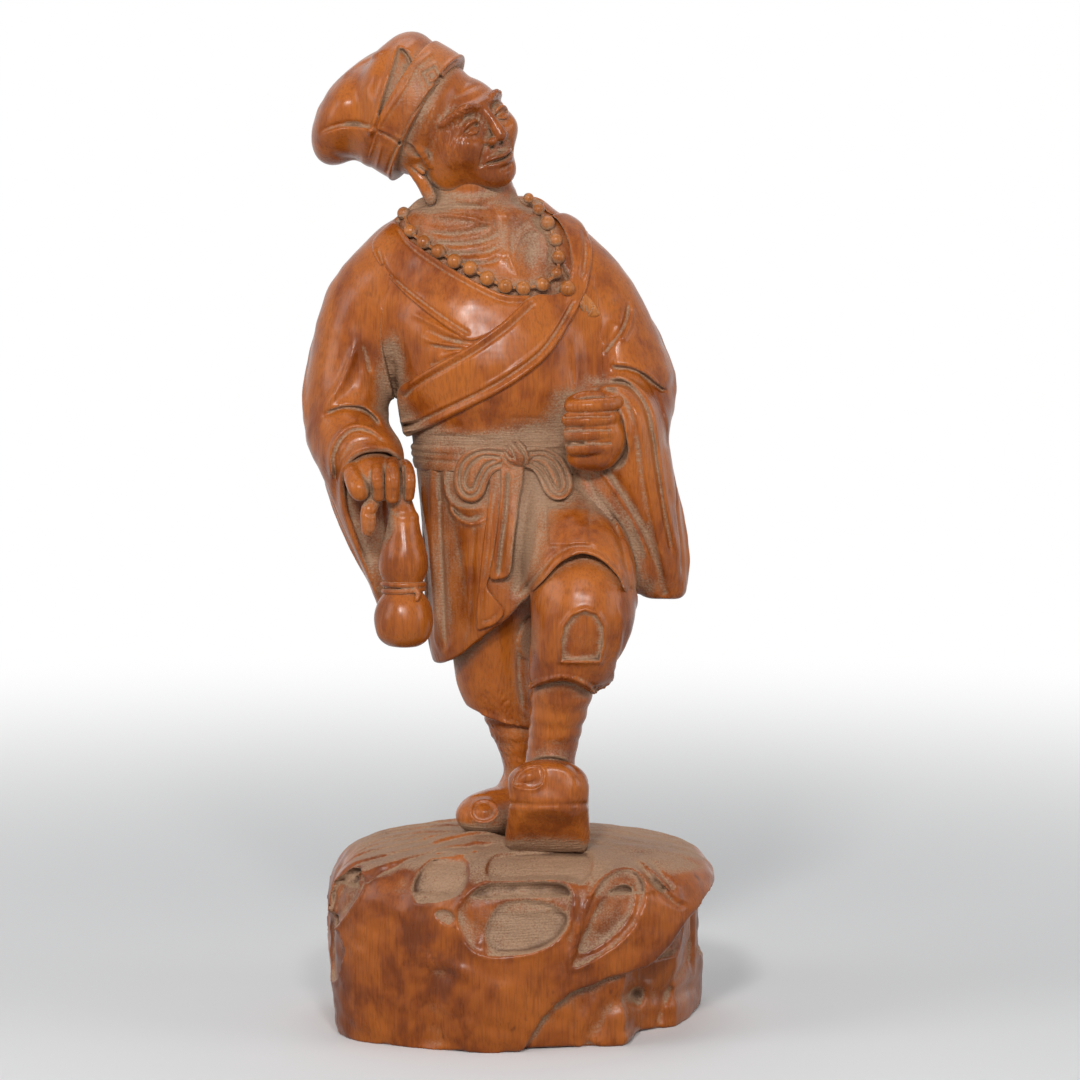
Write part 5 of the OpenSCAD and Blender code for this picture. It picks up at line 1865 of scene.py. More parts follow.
    left_folds: tuple = (
        fold([(629, 302), (626, 320), (619, 334), (604, 354)], -0.9, 0.55),
        fold([(634, 308), (630, 326), (622, 342)], 0.6, 0.7),
        fold([(616, 322), (612, 334), (606, 344)], -0.5, 1.2),
        Lip([(668, 391), (658, 384), (646, 374), (630, 367), (611, 365)], 1.1, 0.6, fade=4.0,
            undercut=0.9, taper=0.1),
        fold([(596, 380), (620, 377), (638, 386), (651, 404), (657, 430), (661, 462), (668, 505),
            (680, 560)], 0.75, 0.7),
        fold([(600, 385), (622, 382), (636, 392), (647, 410), (653, 436), (658, 470), (665, 515),
            (674, 560)], -0.7, 0.5),
        fold([(600, 388), (624, 387), (638, 402), (647, 428), (652, 462), (659, 505), (668, 555)], 0.7,
            0.6),
        fold([(640, 372), (654, 390), (664, 420), (668, 450)], -0.6, 0.7),
        fold([(578, 396), (592, 387), (610, 385), (625, 393), (636, 410), (643, 438), (648, 475),
            (655, 520), (663, 560), (668, 590)], 1.0, 1.0),
        fold([(625, 404), (634, 425), (638, 450), (644, 490), (652, 540)], -0.5, 1.2),
        fold([(584, 397), (600, 392), (615, 399), (625, 416), (628, 436)], 0.5, 0.6),
        Stroke([(606, 466), (620, 488), (633, 510), (645, 530), (653, 550), (661, 574), (666, 596)], -1.0,
            1.3, taper=0.03),
        fold([(601, 468), (612, 485), (627, 508), (640, 533), (650, 560)], 0.8, 0.8),
        Stroke([(588, 472), (594, 492), (610, 512), (622, 532), (630, 560), (633, 590)], -0.6, 0.9,
            taper=0.03),
        fold([(676, 500), (684, 540), (684, 580)], -0.35, 1.5),
        Hatch([(610, 460), (640, 450), (650, 520), (664, 580), (640, 540)], -0.14, 2.0, way=3,
            spacing=0.7, wave=0.3),
        Hatch([(632, 572), (660, 562), (688, 574), (688, 598), (632, 598)], -0.22, 2.0, way=90,
            spacing=0.9, wave=0.5),
    )
    left_back_folds: tuple = (
        Stroke([(-20, 198), (-28, 182), (-36, 168)], 0.8, 1.4),
        Stroke([(-16, 188), (-26, 172), (-34, 162)], -0.8, 1.1),
        Stroke([(-24, 166), (-32, 160), (-40, 162)], -0.9, 1.0),
        Stroke([(-22, 159), (-32, 152), (-41, 154)], 0.8, 1.1),
        Stroke([(-30, 152), (-35, 134), (-40, 116)], 0.9, 1.2),
        Stroke([(-35, 152), (-39, 136), (-43, 118)], -0.8, 0.9),
        Stroke([(-25, 146), (-31, 130), (-36, 116)], -0.8, 1.0),
    )
    left_side_folds: tuple = (
        Stroke([(8, 190), (2, 174), (-4, 164)], 0.8, 1.4),
        Stroke([(10, 176), (2, 162), (-8, 158)], -0.9, 1.1),
        Stroke([(-2, 152), (-6, 134), (-7, 116)], 0.8, 1.2),
        Stroke([(-8, 152), (-12, 136), (-11, 118)], -0.8, 1.0),
        Stroke([(3, 150), (-1, 134), (-3, 118)], -0.7, 0.9),
    )
    over_lower: tuple = (
        (404, 431), (420, 428), (450, 414), (500, 389), (540, 361), (560, 336), (577, 306),
    )
    over_upper: tuple = (
        (402, 392), (416, 380), (441, 365), (471, 348), (506, 323), (532, 299),
    )
    chest_marks: tuple = (
        Stroke([(430, 208), (460, 206), (494, 208)], -0.5, 0.5),
        Stroke([(424, 216), (450, 215), (480, 220), (498, 230)], 0.75, 0.8),
        Stroke([(514, 226), (530, 216), (548, 214)], 0.6, 0.8), Spot([(486, 224), (9, 8)], 0.7),
        Spot([(508, 216), (8, 8)], 0.8), Spot([(505, 255), (9, 6)], 0.5),
        Spot([(532, 256), (8, 17)], -1.0),
        Stroke([(518, 272), (516, 250), (524, 234), (538, 230), (547, 244), (546, 268)], 0.5, 0.5),
        Stroke([(512, 224), (508, 240), (512, 262), (520, 276)], 0.5, 0.7),
    )
    over_marks: tuple = (
        Stroke([(590, 232), (591, 256), (586, 284)], 0.45, 0.5),
        Stroke([(584, 226), (586, 254), (582, 284)], -0.5, 0.4),
        Stroke([(579, 224), (581, 252), (577, 280)], 0.25, 0.5),
        Hatch([(405, 398), (430, 384), (436, 408), (410, 424)], -0.16, 1.5, way=-30, spacing=0.7),
        Spot([(495, 368), (30, 14)], 0.3),
    )
    throat_marks: tuple = (
        Stroke([(526, 214), (540, 236), (548, 262)], 0.35, 0.6),
        Stroke([(448, 196), (470, 200), (500, 196)], 0.5, 0.9),
    )

    def __post_init__(self) -> None:
        """Builds the rough forms that share their surfaces."""
        self.trunk = Loft(placed(self.torso), 2.5)
        self.right = Union([chain(placed(self.right_arm), 1.5), Loft(placed(self.right_drape), 1.2)], 3.0)
        self.left = Union([chain(placed(self.left_arm), 1.5), Loft(placed(self.left_drape), 2.2),
                           chain(placed(self.left_inner), 1.5), chain(placed(self.left_web), 1.5)], 3.0)
        self.arms = Union([self.right, self.left], 0.0)
        self.chest = Cut(Union([Loft(placed([(-3.4, 0.5, 68.5, 15.0, 9.6), (-3.7, 1.2, 74.0, 14.6, 8.4),
            (-3.9, 1.5, 78.0, 12.7, 7.3), (-4.2, 1.6, 82.5, 9.2, 6.2)]), 2.5), ball((11.0, -2.4, 204.0),
            (5.5, 5.2, 7.0)), chain(placed(self.neck), 1.0)], 4.0), Half((0, 4.0, 0), (0, -1, 0)))
        self.cloth = Union([self.trunk, self.skirt.body], 2.0)

    def carve(self, shop: Workshop) -> None:
        """Carves the robe, the lapels, the chest and the sleeves."""
        self.carve_body(shop)
        self.carve_lapels(shop)
        self.carve_chest(shop)
        self.carve_right(shop)
        self.carve_left(shop)

    def carve_body(self, shop: Workshop) -> None:
        """Carves the robe itself."""
        opening = Cut(Region(FRONT, self.opening), Half((0, 1.0, 0), (0, -1, 0)))
        body = Cut(Share(self.trunk, self.arms, 6.0, under=1.4), opening, 0.5)
        folds = Drawing(FRONT, self.body_folds)
        back = Drawing(BACK, self.body_back_folds, facing=0.1)
        shop.carve(Carving("robe_body", body, [folds, back], 0.46), Slot.ROBE)

    def carve_lapels(self, shop: Workshop) -> None:
        """Carves both lapels."""
        cloth = Union([self.trunk, self.arms], 6.0)
        front = Half((0, 6.0, 0), (0, 1, 0))
        under = Common([Shell(cloth, 0.9), Region(FRONT, self.under), front], 0.5)
        shop.carve(Carving("lapel_under", under, [Drawing(FRONT, self.under_marks)], 0.34), Slot.ROBE)

        over = Common([Shell(cloth, 1.25), Region(FRONT, self.over), front], 0.5)
        hems = ((self.over_lower, 0.0, 0.5, 0.55), (self.over_lower, 5.5, -0.55, 0.45),
                (self.over_lower, 9.0, 0.25, 0.5), (self.over_upper, 0.0, 0.5, 0.55),
                (self.over_upper, -5.5, -0.5, 0.45))
        edges = [Stroke(shifted(line, by), lift, size, taper=0.02) for line, by, lift, size in hems]
        front = Drawing(FRONT, [*edges, *self.over_marks])
        shop.carve(Carving("lapel_over", over, [front], 0.34), Slot.ROBE)

    def carve_chest(self, shop: Workshop) -> None:
        """Carves the bare chest and neck: collar bones, ribs and the hollow of the throat."""
        lines = list(self.chest_marks)
        for k in range(4):
            y = 230 + 11 * k
            rib = [(424 + 9 * k, y - 3), (452 + 7 * k, y - 1 - k), (478 + 4 * k, y - 6), (500, y - 14)]
            gap = [(428 + 9 * k, y + 2.5), (456 + 7 * k, y + 4 - k), (482 + 4 * k, y - 1), (503, y - 8)]
            lines += [Stroke(rib, 0.34, 0.7, taper=0.2), Stroke(gap, -0.3, 0.5, taper=0.2)]
        lines += self.throat_marks
        shop.carve(Carving("chest", self.chest, [Drawing(FRONT, lines)], 0.34, 0.08), Slot.SKIN)

    def carve_right(self, shop: Workshop) -> None:
        """Carves the right sleeve: the crest over the elbow, the rolled cuff and the hanging part."""
        body = Share(self.right, self.trunk, 6.0)
        mouth = Common([Region(FRONT, self.right_mouth), Half((0, -14.0, 0), (0, 1, 0))], 0.8)
        front = Drawing(FRONT, self.right_folds)
        back = Drawing(BACK, self.right_back_folds, facing=0.1)
        side = Drawing(RIGHT, self.right_side_folds, facing=0.35)
        shop.carve(Carving("right_sleeve", Cut(body, mouth, 0.8), [front, back, side], 0.42), Slot.ROBE)

    def carve_left(self, shop: Workshop) -> None:
        """Carves the left sleeve: creases, the pointed fold, the wide mouth and the hanging folds."""
        body = Share(self.left, self.trunk, 3.0)
        mouth = chain([[21.5, -24.0, 157.5, 8.2, 6.0, 9.0], [23.0, -22.0, 154.0, 7.0, 5.0, 7.5]], 1.0)
        front = Drawing(FRONT, self.left_folds)
        back = Drawing(BACK, self.left_back_folds, facing=0.1)
        side = Drawing(LEFT, self.left_side_folds, facing=0.35)
        shop.carve(Carving("left_sleeve", Cut(body, mouth, 0.8), [front, back, side], 0.42), Slot.ROBE)


# The head and the cap

@dataclass
class Head:
    """The head, its ears and the cap, made upright and then turned, tipped back and leant.

    Attributes:
        place: The head's middle.
        turn: How far it turns to its left, in degrees.
        lean: How far it leans.
        tip: How far it tips back.
        cap_place: The middle of the cap's band, from the head's middle.
        cap_turn: How far the cap turns on the head.
        cap_lean: How far it leans on the head.
        cap_tip: How far it tips back on the head.
        size: Size of the head against its drawings, which show it 38 mm high.
        fret_place: Middle of the band's fret in the front view.
        fret_turn: How far the fret is turned there, in degrees.
        fret_squares: Half diagonals and lifts of the fret's squares.
    """
    place: tuple = (-14.5, -2.0, 235.1)
    turn: float = 41.0
    lean: float = -21.0
    tip: float = -10.0
    cap_place: tuple = (-5.14, 6.30, 8.86)
    cap_turn: float = 12.7
    cap_lean: float = -13.2
    cap_tip: float = -37.0
    size: float = 0.95
    fret_place: tuple = (433, 76)
    fret_turn: int = 17
    fret_squares: tuple = ((13.5, 0.32), (9.0, -0.4), (5.2, 0.32), (2.2, -0.35))
    face_marks: tuple = (
        Stroke([(-5.2, -9.9), (-2.4, -10.5), (0, -10.75), (2.4, -10.5), (5.2, -9.9)], -0.75, 0.42,
            taper=0.08),
        Stroke([(0, -7.4), (0, -8.9)], -0.3, 0.5),
        Stroke([(-2.8, -13.1), (0, -13.4), (2.8, -13.1)], -0.45, 0.8),
        Spot([(-8.2, -3.4), (3, 2.6)], 0.5), Spot([(8.2, -3.4), (3, 2.6)], 0.5),
        Stroke([(-6.0, 9.4), (0, 9.9), (6.0, 9.4)], -0.22, 0.6, taper=0.15),
        Hatch([(-6, -13.4), (-3, -12.6), (0, -12.9), (3, -12.6), (6, -13.4), (7.5, -17), (0, -20),
            (-7.5, -17)], 0.14, 1.5, way=84, spacing=0.55, wave=0.25),
    )
    hair_marks: tuple = (
        Hatch([(-8, -15), (-2, -13), (2, -10), (3, -14), (-2, -18), (-8, -19)], 0.14, 1.5, way=70,
            spacing=0.55, wave=0.25),
        Hatch([(-6, 10), (-5, 3), (-2.6, -2), (-1.6, 3), (0, 8), (-1, 12)], 0.34, 0.8, way=75,
            spacing=0.7, wave=0.3),
        Hatch([(6, 8), (6, -4), (8, -9), (14, -6), (17, 4), (14, 10)], 0.3, 1.0, way=70, spacing=0.8,
            wave=0.3),
        Panel([(-0.6, 1.6), (1.0, 3.4), (2.2, 1.4), (1.2, -1.4), (-0.4, -1.6)], -0.9, 0.6),
    )
    band_marks: tuple = (
        Stroke([(457, 60), (444, 72), (432, 91), (414, 115), (404, 135), (394, 155), (387, 172)], -0.5,
            0.4, taper=0.03),
        Stroke([(432, 53), (417, 66), (402, 92), (382, 122), (374, 145), (366, 165)], 0.45, 0.5,
            taper=0.03),
        Stroke([(370, 139), (362, 158)], 0.5, 0.4), Stroke([(384, 140), (376, 170)], 0.35, 0.4),
        Stroke([(376, 130), (388, 136), (402, 144)], -0.5, 0.4, taper=0.05),
        Stroke([(376, 127), (390, 133), (404, 140)], 0.3, 0.4),
    )
    crown_folds: tuple = (
        Panel([(399, 46), (412, 52), (414, 66), (400, 92), (382, 118), (378, 114), (386, 84), (393, 60)],
            -0.9, 1.0, smooth=False),
        Stroke([(397, 44), (394, 60), (388, 80), (378, 112), (370, 136)], 1.0, 0.8, taper=0.06),
        Stroke([(388, 52), (382, 76), (372, 100)], -0.6, 1.8),
        Lip([(416, 70), (411, 58), (403, 47)], 0.7, 0.5, fade=2.5, undercut=0.5, taper=0.1),
        Stroke([(394, 45), (374, 55), (354, 66), (340, 80)], 0.5, 0.6),
        Lip([(320, 136), (334, 129), (352, 126), (378, 130)], 0.9, 0.7, fade=5.0, undercut=0.7),
        Stroke([(330, 153), (346, 158), (364, 160)], -0.5, 0.9), Spot([(350, 100), (22, 26)], 0.5),
        Stroke([(404, 66), (410, 72), (404, 80)], -0.4, 0.6),
    )
    crown_back_folds: tuple = (
        Stroke([(22, 256), (32, 250), (42, 240)], -0.8, 1.0),
        Stroke([(18, 252), (28, 244), (36, 234)], 0.8, 1.3),
        Stroke([(10, 250), (20, 238), (26, 226)], -0.7, 1.1),
        Stroke([(44, 236), (36, 228), (26, 224)], -0.8, 1.0),
        Stroke([(14, 234), (24, 226), (32, 222)], 0.6, 1.2),
    )

    def __post_init__(self) -> None:
        """Works out the head's and the cap's frames."""
        self.ways = turned("z", self.turn) @ turned("y", self.lean) @ turned("x", self.tip)
        cap = turned("z", self.cap_turn), turned("y", self.cap_lean), turned("x", self.cap_tip)
        self.cap_ways = self.ways @ cap[0] @ cap[1] @ cap[2]
        self.seat = np.array(self.place)
        self.cap_seat = self.seat + self.ways @ np.array(self.cap_place)
        self.face, self.left, self.right = (
            View(tuple(right), tuple(self.ways[:, 2]), tuple(self.seat), 1 / self.size)
            for right in (self.ways[:, 0], self.ways[:, 1], -self.ways[:, 1]))

    def skull(self) -> Form:
        """The head without its ears: skull, cheeks, jaw, brow, nose, lips and lids."""
        def both(x: float, y: float, z: float, *half: float) -> list[Form]:
            """A ball on either side."""
            return [ball((s * x, y, z), half) for s in (-1, 1)]

        def across(*rows: tuple) -> Form:
            """A chain from one side to the other; its rows run out from the middle."""
            return chain([[-r[0], *r[1:]] for r in reversed(rows) if r[0]] + [list(r) for r in rows], 0.5)

        mass = Union([ball((0, 2.4, 2.4), (13.4, 15.6, 13.0)), ball((0, -4.2, 2.2), (11.2, 11.2, 10.6)),
                      ball((0, -5.4, -8.2), (9.4, 9.3, 8.2)), ball((0, -10.9, -14.2), (4.6, 4.0, 3.8)),
                      *both(7.2, -8.4, -3.9, 4.7, 5.6, 4.7), *both(8.8, 0.6, -8.0, 3.6, 6.0, 6.6)], 4.5)
        sockets = Union(both(5.7, -16.6, 1.5, 3.9, 3.0, 2.6), 0.5)
        brow = across((0, -15.0, 5.0, 1.8, 1.4, 1.2), (5.4, -14.2, 5.6, 2.0, 1.5, 1.1),
            (10.0, -9.8, 4.6, 1.8, 1.5, 1.1))
        face = Union([Cut(mass, sockets, 1.8), *both(5.5, -12.7, 1.1, 3.1, 2.8, 2.6), brow], 1.3)
        nose = Union([chain([[0, -14.8, 4.4, 1.2, 1.4, 1.6], [0, -16.6, 0.2, 1.25, 1.6, 1.8], [0, -18.1,
            -4.2, 1.8, 1.8, 1.7]], 0.5), *both(2.2, -16.2, -5.0, 1.35, 1.7, 1.2)], 0.8)
        lids = Union([chain([[s * 2.9, -14.3, 0.5, 0.5, 0.6, 0.45], [s * 4.2, -15.4, 1.9, 0.5, 0.6, 0.5],
                             [s * 5.8, -15.6, 2.2, 0.5, 0.6, 0.5], [s * 7.3, -14.7, 1.6, 0.5, 0.6, 0.45],
                             [s * 8.8, -13.0, 0.2, 0.4, 0.6, 0.4]], 0.2) for s in (-1, 1)]
                     + [chain([[s * 3.2, -14.4, 0.2, 0.4, 0.5, 0.35], [s * 5.6, -15.3, -0.9, 0.5, 0.6, 0.4],
                               [s * 8.3, -13.3, 0.1, 0.4, 0.5, 0.35]], 0.2) for s in (-1, 1)], 0.0)
        brows = Union([chain([[s * 2.2, -16.0, 5.0, 0.7, 0.7, 0.6], [s * 5.4, -15.6, 6.4, 0.8, 0.8, 0.8],
                              [s * 9.4, -12.0, 5.5, 0.6, 0.7, 0.6]], 0.3) for s in (-1, 1)], 0.0)
        lips = Union([across((0, -15.2, -9.9, 1.0, 1.1, 0.6), (2.0, -14.9, -9.6, 1.2, 1.1, 0.7),
                             (4.7, -13.2, -9.9, 0.7, 0.9, 0.45)),
                      across((0, -14.9, -11.6, 1.9, 1.3, 0.95), (3.9, -13.2, -10.8, 0.8, 0.9, 0.55))], 0.2)
        return Union([Union([face, nose, lips], 1.1), lids, brows], 0.35)

    def ears(self) -> Form:
        """Both ears with their long lobes."""
        parts = []
        for s in (-1, 1):
            rim = chain([[s * 13.0, -2.0, -2.4, 0.95, 0.95, 0.95], [s * 15.2, -2.3, 2.6, 0.95, 0.95, 0.95],
                         [s * 16.6, 1.0, 5.6, 1.0, 1.05, 0.95], [s * 16.4, 4.8, 3.0, 1.0, 1.05, 0.95],
                         [s * 15.2, 4.6, -2.4, 1.0, 1.1, 1.0], [s * 14.2, 2.0, -6.8, 1.5, 1.7, 2.2],
                         [s * 13.8, 0.6, -11.2, 1.6, 2.0, 2.6]], 0.4)
            bowl = ball((s * 13.0, 1.2, 0.4), (1.0, 3.2, 4.6))
            fold = chain([[s * 15.2, 2.8, 2.8, 0.6, 0.6, 0.6], [s * 15.0, 2.6, -1.6, 0.6, 0.6, 0.6],
                          [s * 14.4, 0.2, -4.0, 0.7, 0.7, 0.7]], 0.3)
            parts += [Union([rim, bowl, fold], 0.7)]
        return Tilted(Union(parts, 0.0), np.array([0.0, 0.6, -2.4]), turned("x", 14.0))

    def carve(self, shop: Workshop) -> None:
        """Carves the head and the cap."""
        hair = Tilted(ball((0, 0, -4.9), (14.1, 16.6, 9.2)), self.cap_seat, self.cap_ways)
        body = Union([Tilted(Union([self.skull(), self.ears()], 0.9), self.seat, self.ways, self.size),
            hair], 1.0)
        lids = []
        for s in (-1, 1):
            lids += [Stroke([(s * 3.0, 0.4), (s * 4.6, 0.75), (s * 6.4, 0.7), (s * 8.2, 0.15)], -0.6,
                0.42, taper=0.1), Stroke([(s * 3.2, 3.0), (s * 5.6, 3.6), (s * 8.6, 2.2)], -0.45, 0.5,
                taper=0.15), Stroke([(s * 3.6, -2.1), (s * 6.0, -2.6), (s * 8.4, -1.6)], -0.22, 0.5,
                taper=0.15), Stroke([(s * 3.1, -5.2), (s * 5.0, -7.4), (s * 6.0, -10.6)], -0.5, 0.75,
                taper=0.08), Stroke([(s * 1.1, -6.5), (s * 2.4, -6.7)], -0.7, 0.45, taper=0.0),
                Hatch([(s * 1.8, 4.4), (s * 5.4, 5.6), (s * 9.8, 4.8), (s * 9.8, 6.2), (s * 5.4, 7.4),
                (s * 1.8, 5.8)], 0.4, 0.4, way=90 - s * 40, spacing=0.9, wave=0.2)]
        front = Drawing(self.face, [*lids, *self.face_marks], facing=0.25, step=0.09)
        sides = [Drawing(view, self.hair_marks, facing=0.35, step=0.1) for view in (self.left, self.right)]
        shop.carve(Carving("head", body, [front, *sides], 0.26, 0.02), Slot.SKIN)
        self.carve_cap(shop, Tilted(self.ears(), self.seat, self.ways, self.size))

    def ring(self, grow: float, half: float) -> Form:
        """The cap's band: an oval ring about the head."""
        return Loft([[0, 0, z, w + grow, d + grow]
                     for z, w, d in ((-half, 15.9, 18.5), (0, 16.0, 18.6), (half, 15.9, 18.5))], 0.6)

    def fret(self) -> list[Stroke]:
        """The squares of the band's fret, one inside the other."""
        u, v = self.fret_place
        squares = []
        for size, lift in self.fret_squares:
            ring = [(u + size * math.cos(math.radians(self.fret_turn + a)),
                     v + size * math.sin(math.radians(self.fret_turn + a))) for a in (0, 90, 180, 270, 0)]
            line = [(a[0] + (b[0] - a[0]) * t, a[1] + (b[1] - a[1]) * t)
                    for a, b in zip(ring, ring[1:]) for t in (0, 0.33, 0.67)]
            squares.append(Stroke([*line, line[0]], lift, 0.42, taper=0.0))
        return squares

    def carve_cap(self, shop: Workshop, ears: Form) -> None:
        """Carves the band and the soft crown of the cap."""
        edge = Loft([[0, 0, -4.3, 17.1, 19.7], [0, 0, -3.8, 17.3, 19.9], [0, 0, -3.2, 17.1, 19.7]], 0.4)
        hollow = Loft([[0, 0, -9, 12.4, 15.0], [0, 0, 0, 12.5, 15.1], [0, 0, 9, 12.4, 15.0]], 0.5)
        band = Cut(Union([self.ring(1.1, 4.1), edge], 0.3), hollow)
        body = Cut(Tilted(band, self.cap_seat, self.cap_ways), ears, 0.5)
        front = Drawing(FRONT, [*self.fret(), *self.band_marks])
        shop.carve(Carving("cap_band", body, [front], 0.30, 0.03), Slot.ROBE)

        crown = Union([self.ring(0.0, 2.2), ball((0, 1.5, 5.0), (17.0, 18.4, 8.0)),
                       chain([[-5.0, 8.5, 14.0, 14.5, 14.5, 8.0], [6.0, 8.5, 13.0, 12.5, 13.5, 8.0]], 1.0),
                       ball((1.0, -7.5, 8.5), (13.5, 9.8, 6.8))], 3.5)
        top = Cut(Tilted(crown, self.cap_seat, self.cap_ways), ears, 0.4)
        folds = Drawing(FRONT, self.crown_folds)
        back = Drawing(BACK, self.crown_back_folds, facing=0.1)
        shop.carve(Carving("cap_crown", top, [folds, back], 0.38), Slot.ROBE)


# The necklace

@dataclass
class Necklace:
    """The beads that show on the chest, with the counter bead and its tassel.

    Attributes:
        robe: The robe and chest that they lie on.
        beads: Each bead's place in the front view, and its radius.
        tassel: Places in the front view of the counter bead, the tassel's knot and its end.
    """
    robe: Robe
    beads: tuple = ((404, 213, 1.7), (411, 231, 1.75), (424, 242, 1.85), (439, 251, 1.9),
        (455, 261, 1.95), (471, 268, 1.95), (488, 278, 1.95), (506, 286, 1.9), (524, 288, 1.9),
        (543, 284, 1.9), (557, 273, 1.5), (559, 257, 1.8), (556, 240, 1.8), (548, 223, 1.95),
        (539, 209, 1.6), (529, 198, 1.4))
    tassel: tuple = ((568, 288), (580, 293), (592, 313))

    def carve(self, shop: Workshop) -> None:
        """Carves the beads, the counter bead and the tassel."""
        chest = Union([self.robe.chest, Shell(self.robe.trunk, 0.7, 9.0)], 0.5)
        beads = [ball(lands(u, v, chest) + [0, -0.35 * r, 0], r) for u, v, r in self.beads]
        cord = rod([lands(u, v, chest) + [0, -0.1, 0] for u, v, _ in self.beads], 0.45)
        string = Union([*beads, cord], 0.12, reach=6.0)
        shop.carve(Carving("necklace_beads", string, step=0.26, uneven=0.03), Slot.BEAD)

        cloth = Shell(self.robe.trunk, 1.7, 9.0)
        middle, knot, end = (lands(u, v, cloth) for u, v in self.tassel)
        bulge = (knot + end) / 2 + [0, -0.4, 0]
        threads = chain([[*knot, 1.0, 1.0, 1.0], [*bulge, 1.7, 1.2, 1.6], [*end, 2.2, 1.0, 1.2]], 0.5)
        counter = ball(middle + [0, -0.9, 0], 2.0)
        tassel = Union([counter, ball(knot + [0, -0.6, 0], (1.3, 1.1, 1.2)), threads], 0.4)
        strands = [Stroke([(578, 291 + k), (586, 297 + 2.6 * k), (592 - 1.2 * k, 310 + 1.6 * k)], -0.6,
            0.24, taper=0.0) for k in range(-2, 5)]
        shop.carve(Carving("necklace_tassel", tassel, [Drawing(FRONT, strands)], 0.22, 0.02), Slot.BEAD)


# The hands and the gourd

def finger(points: Iterable[Point], thick: float) -> Form:
    """Makes a bent finger that swells at its joints."""
    pts = [list(q) for q in points]
    return rod(pts, [thick * (1.0 if k % 2 == 0 else 0.93) for k in range(len(pts))], 0.25)


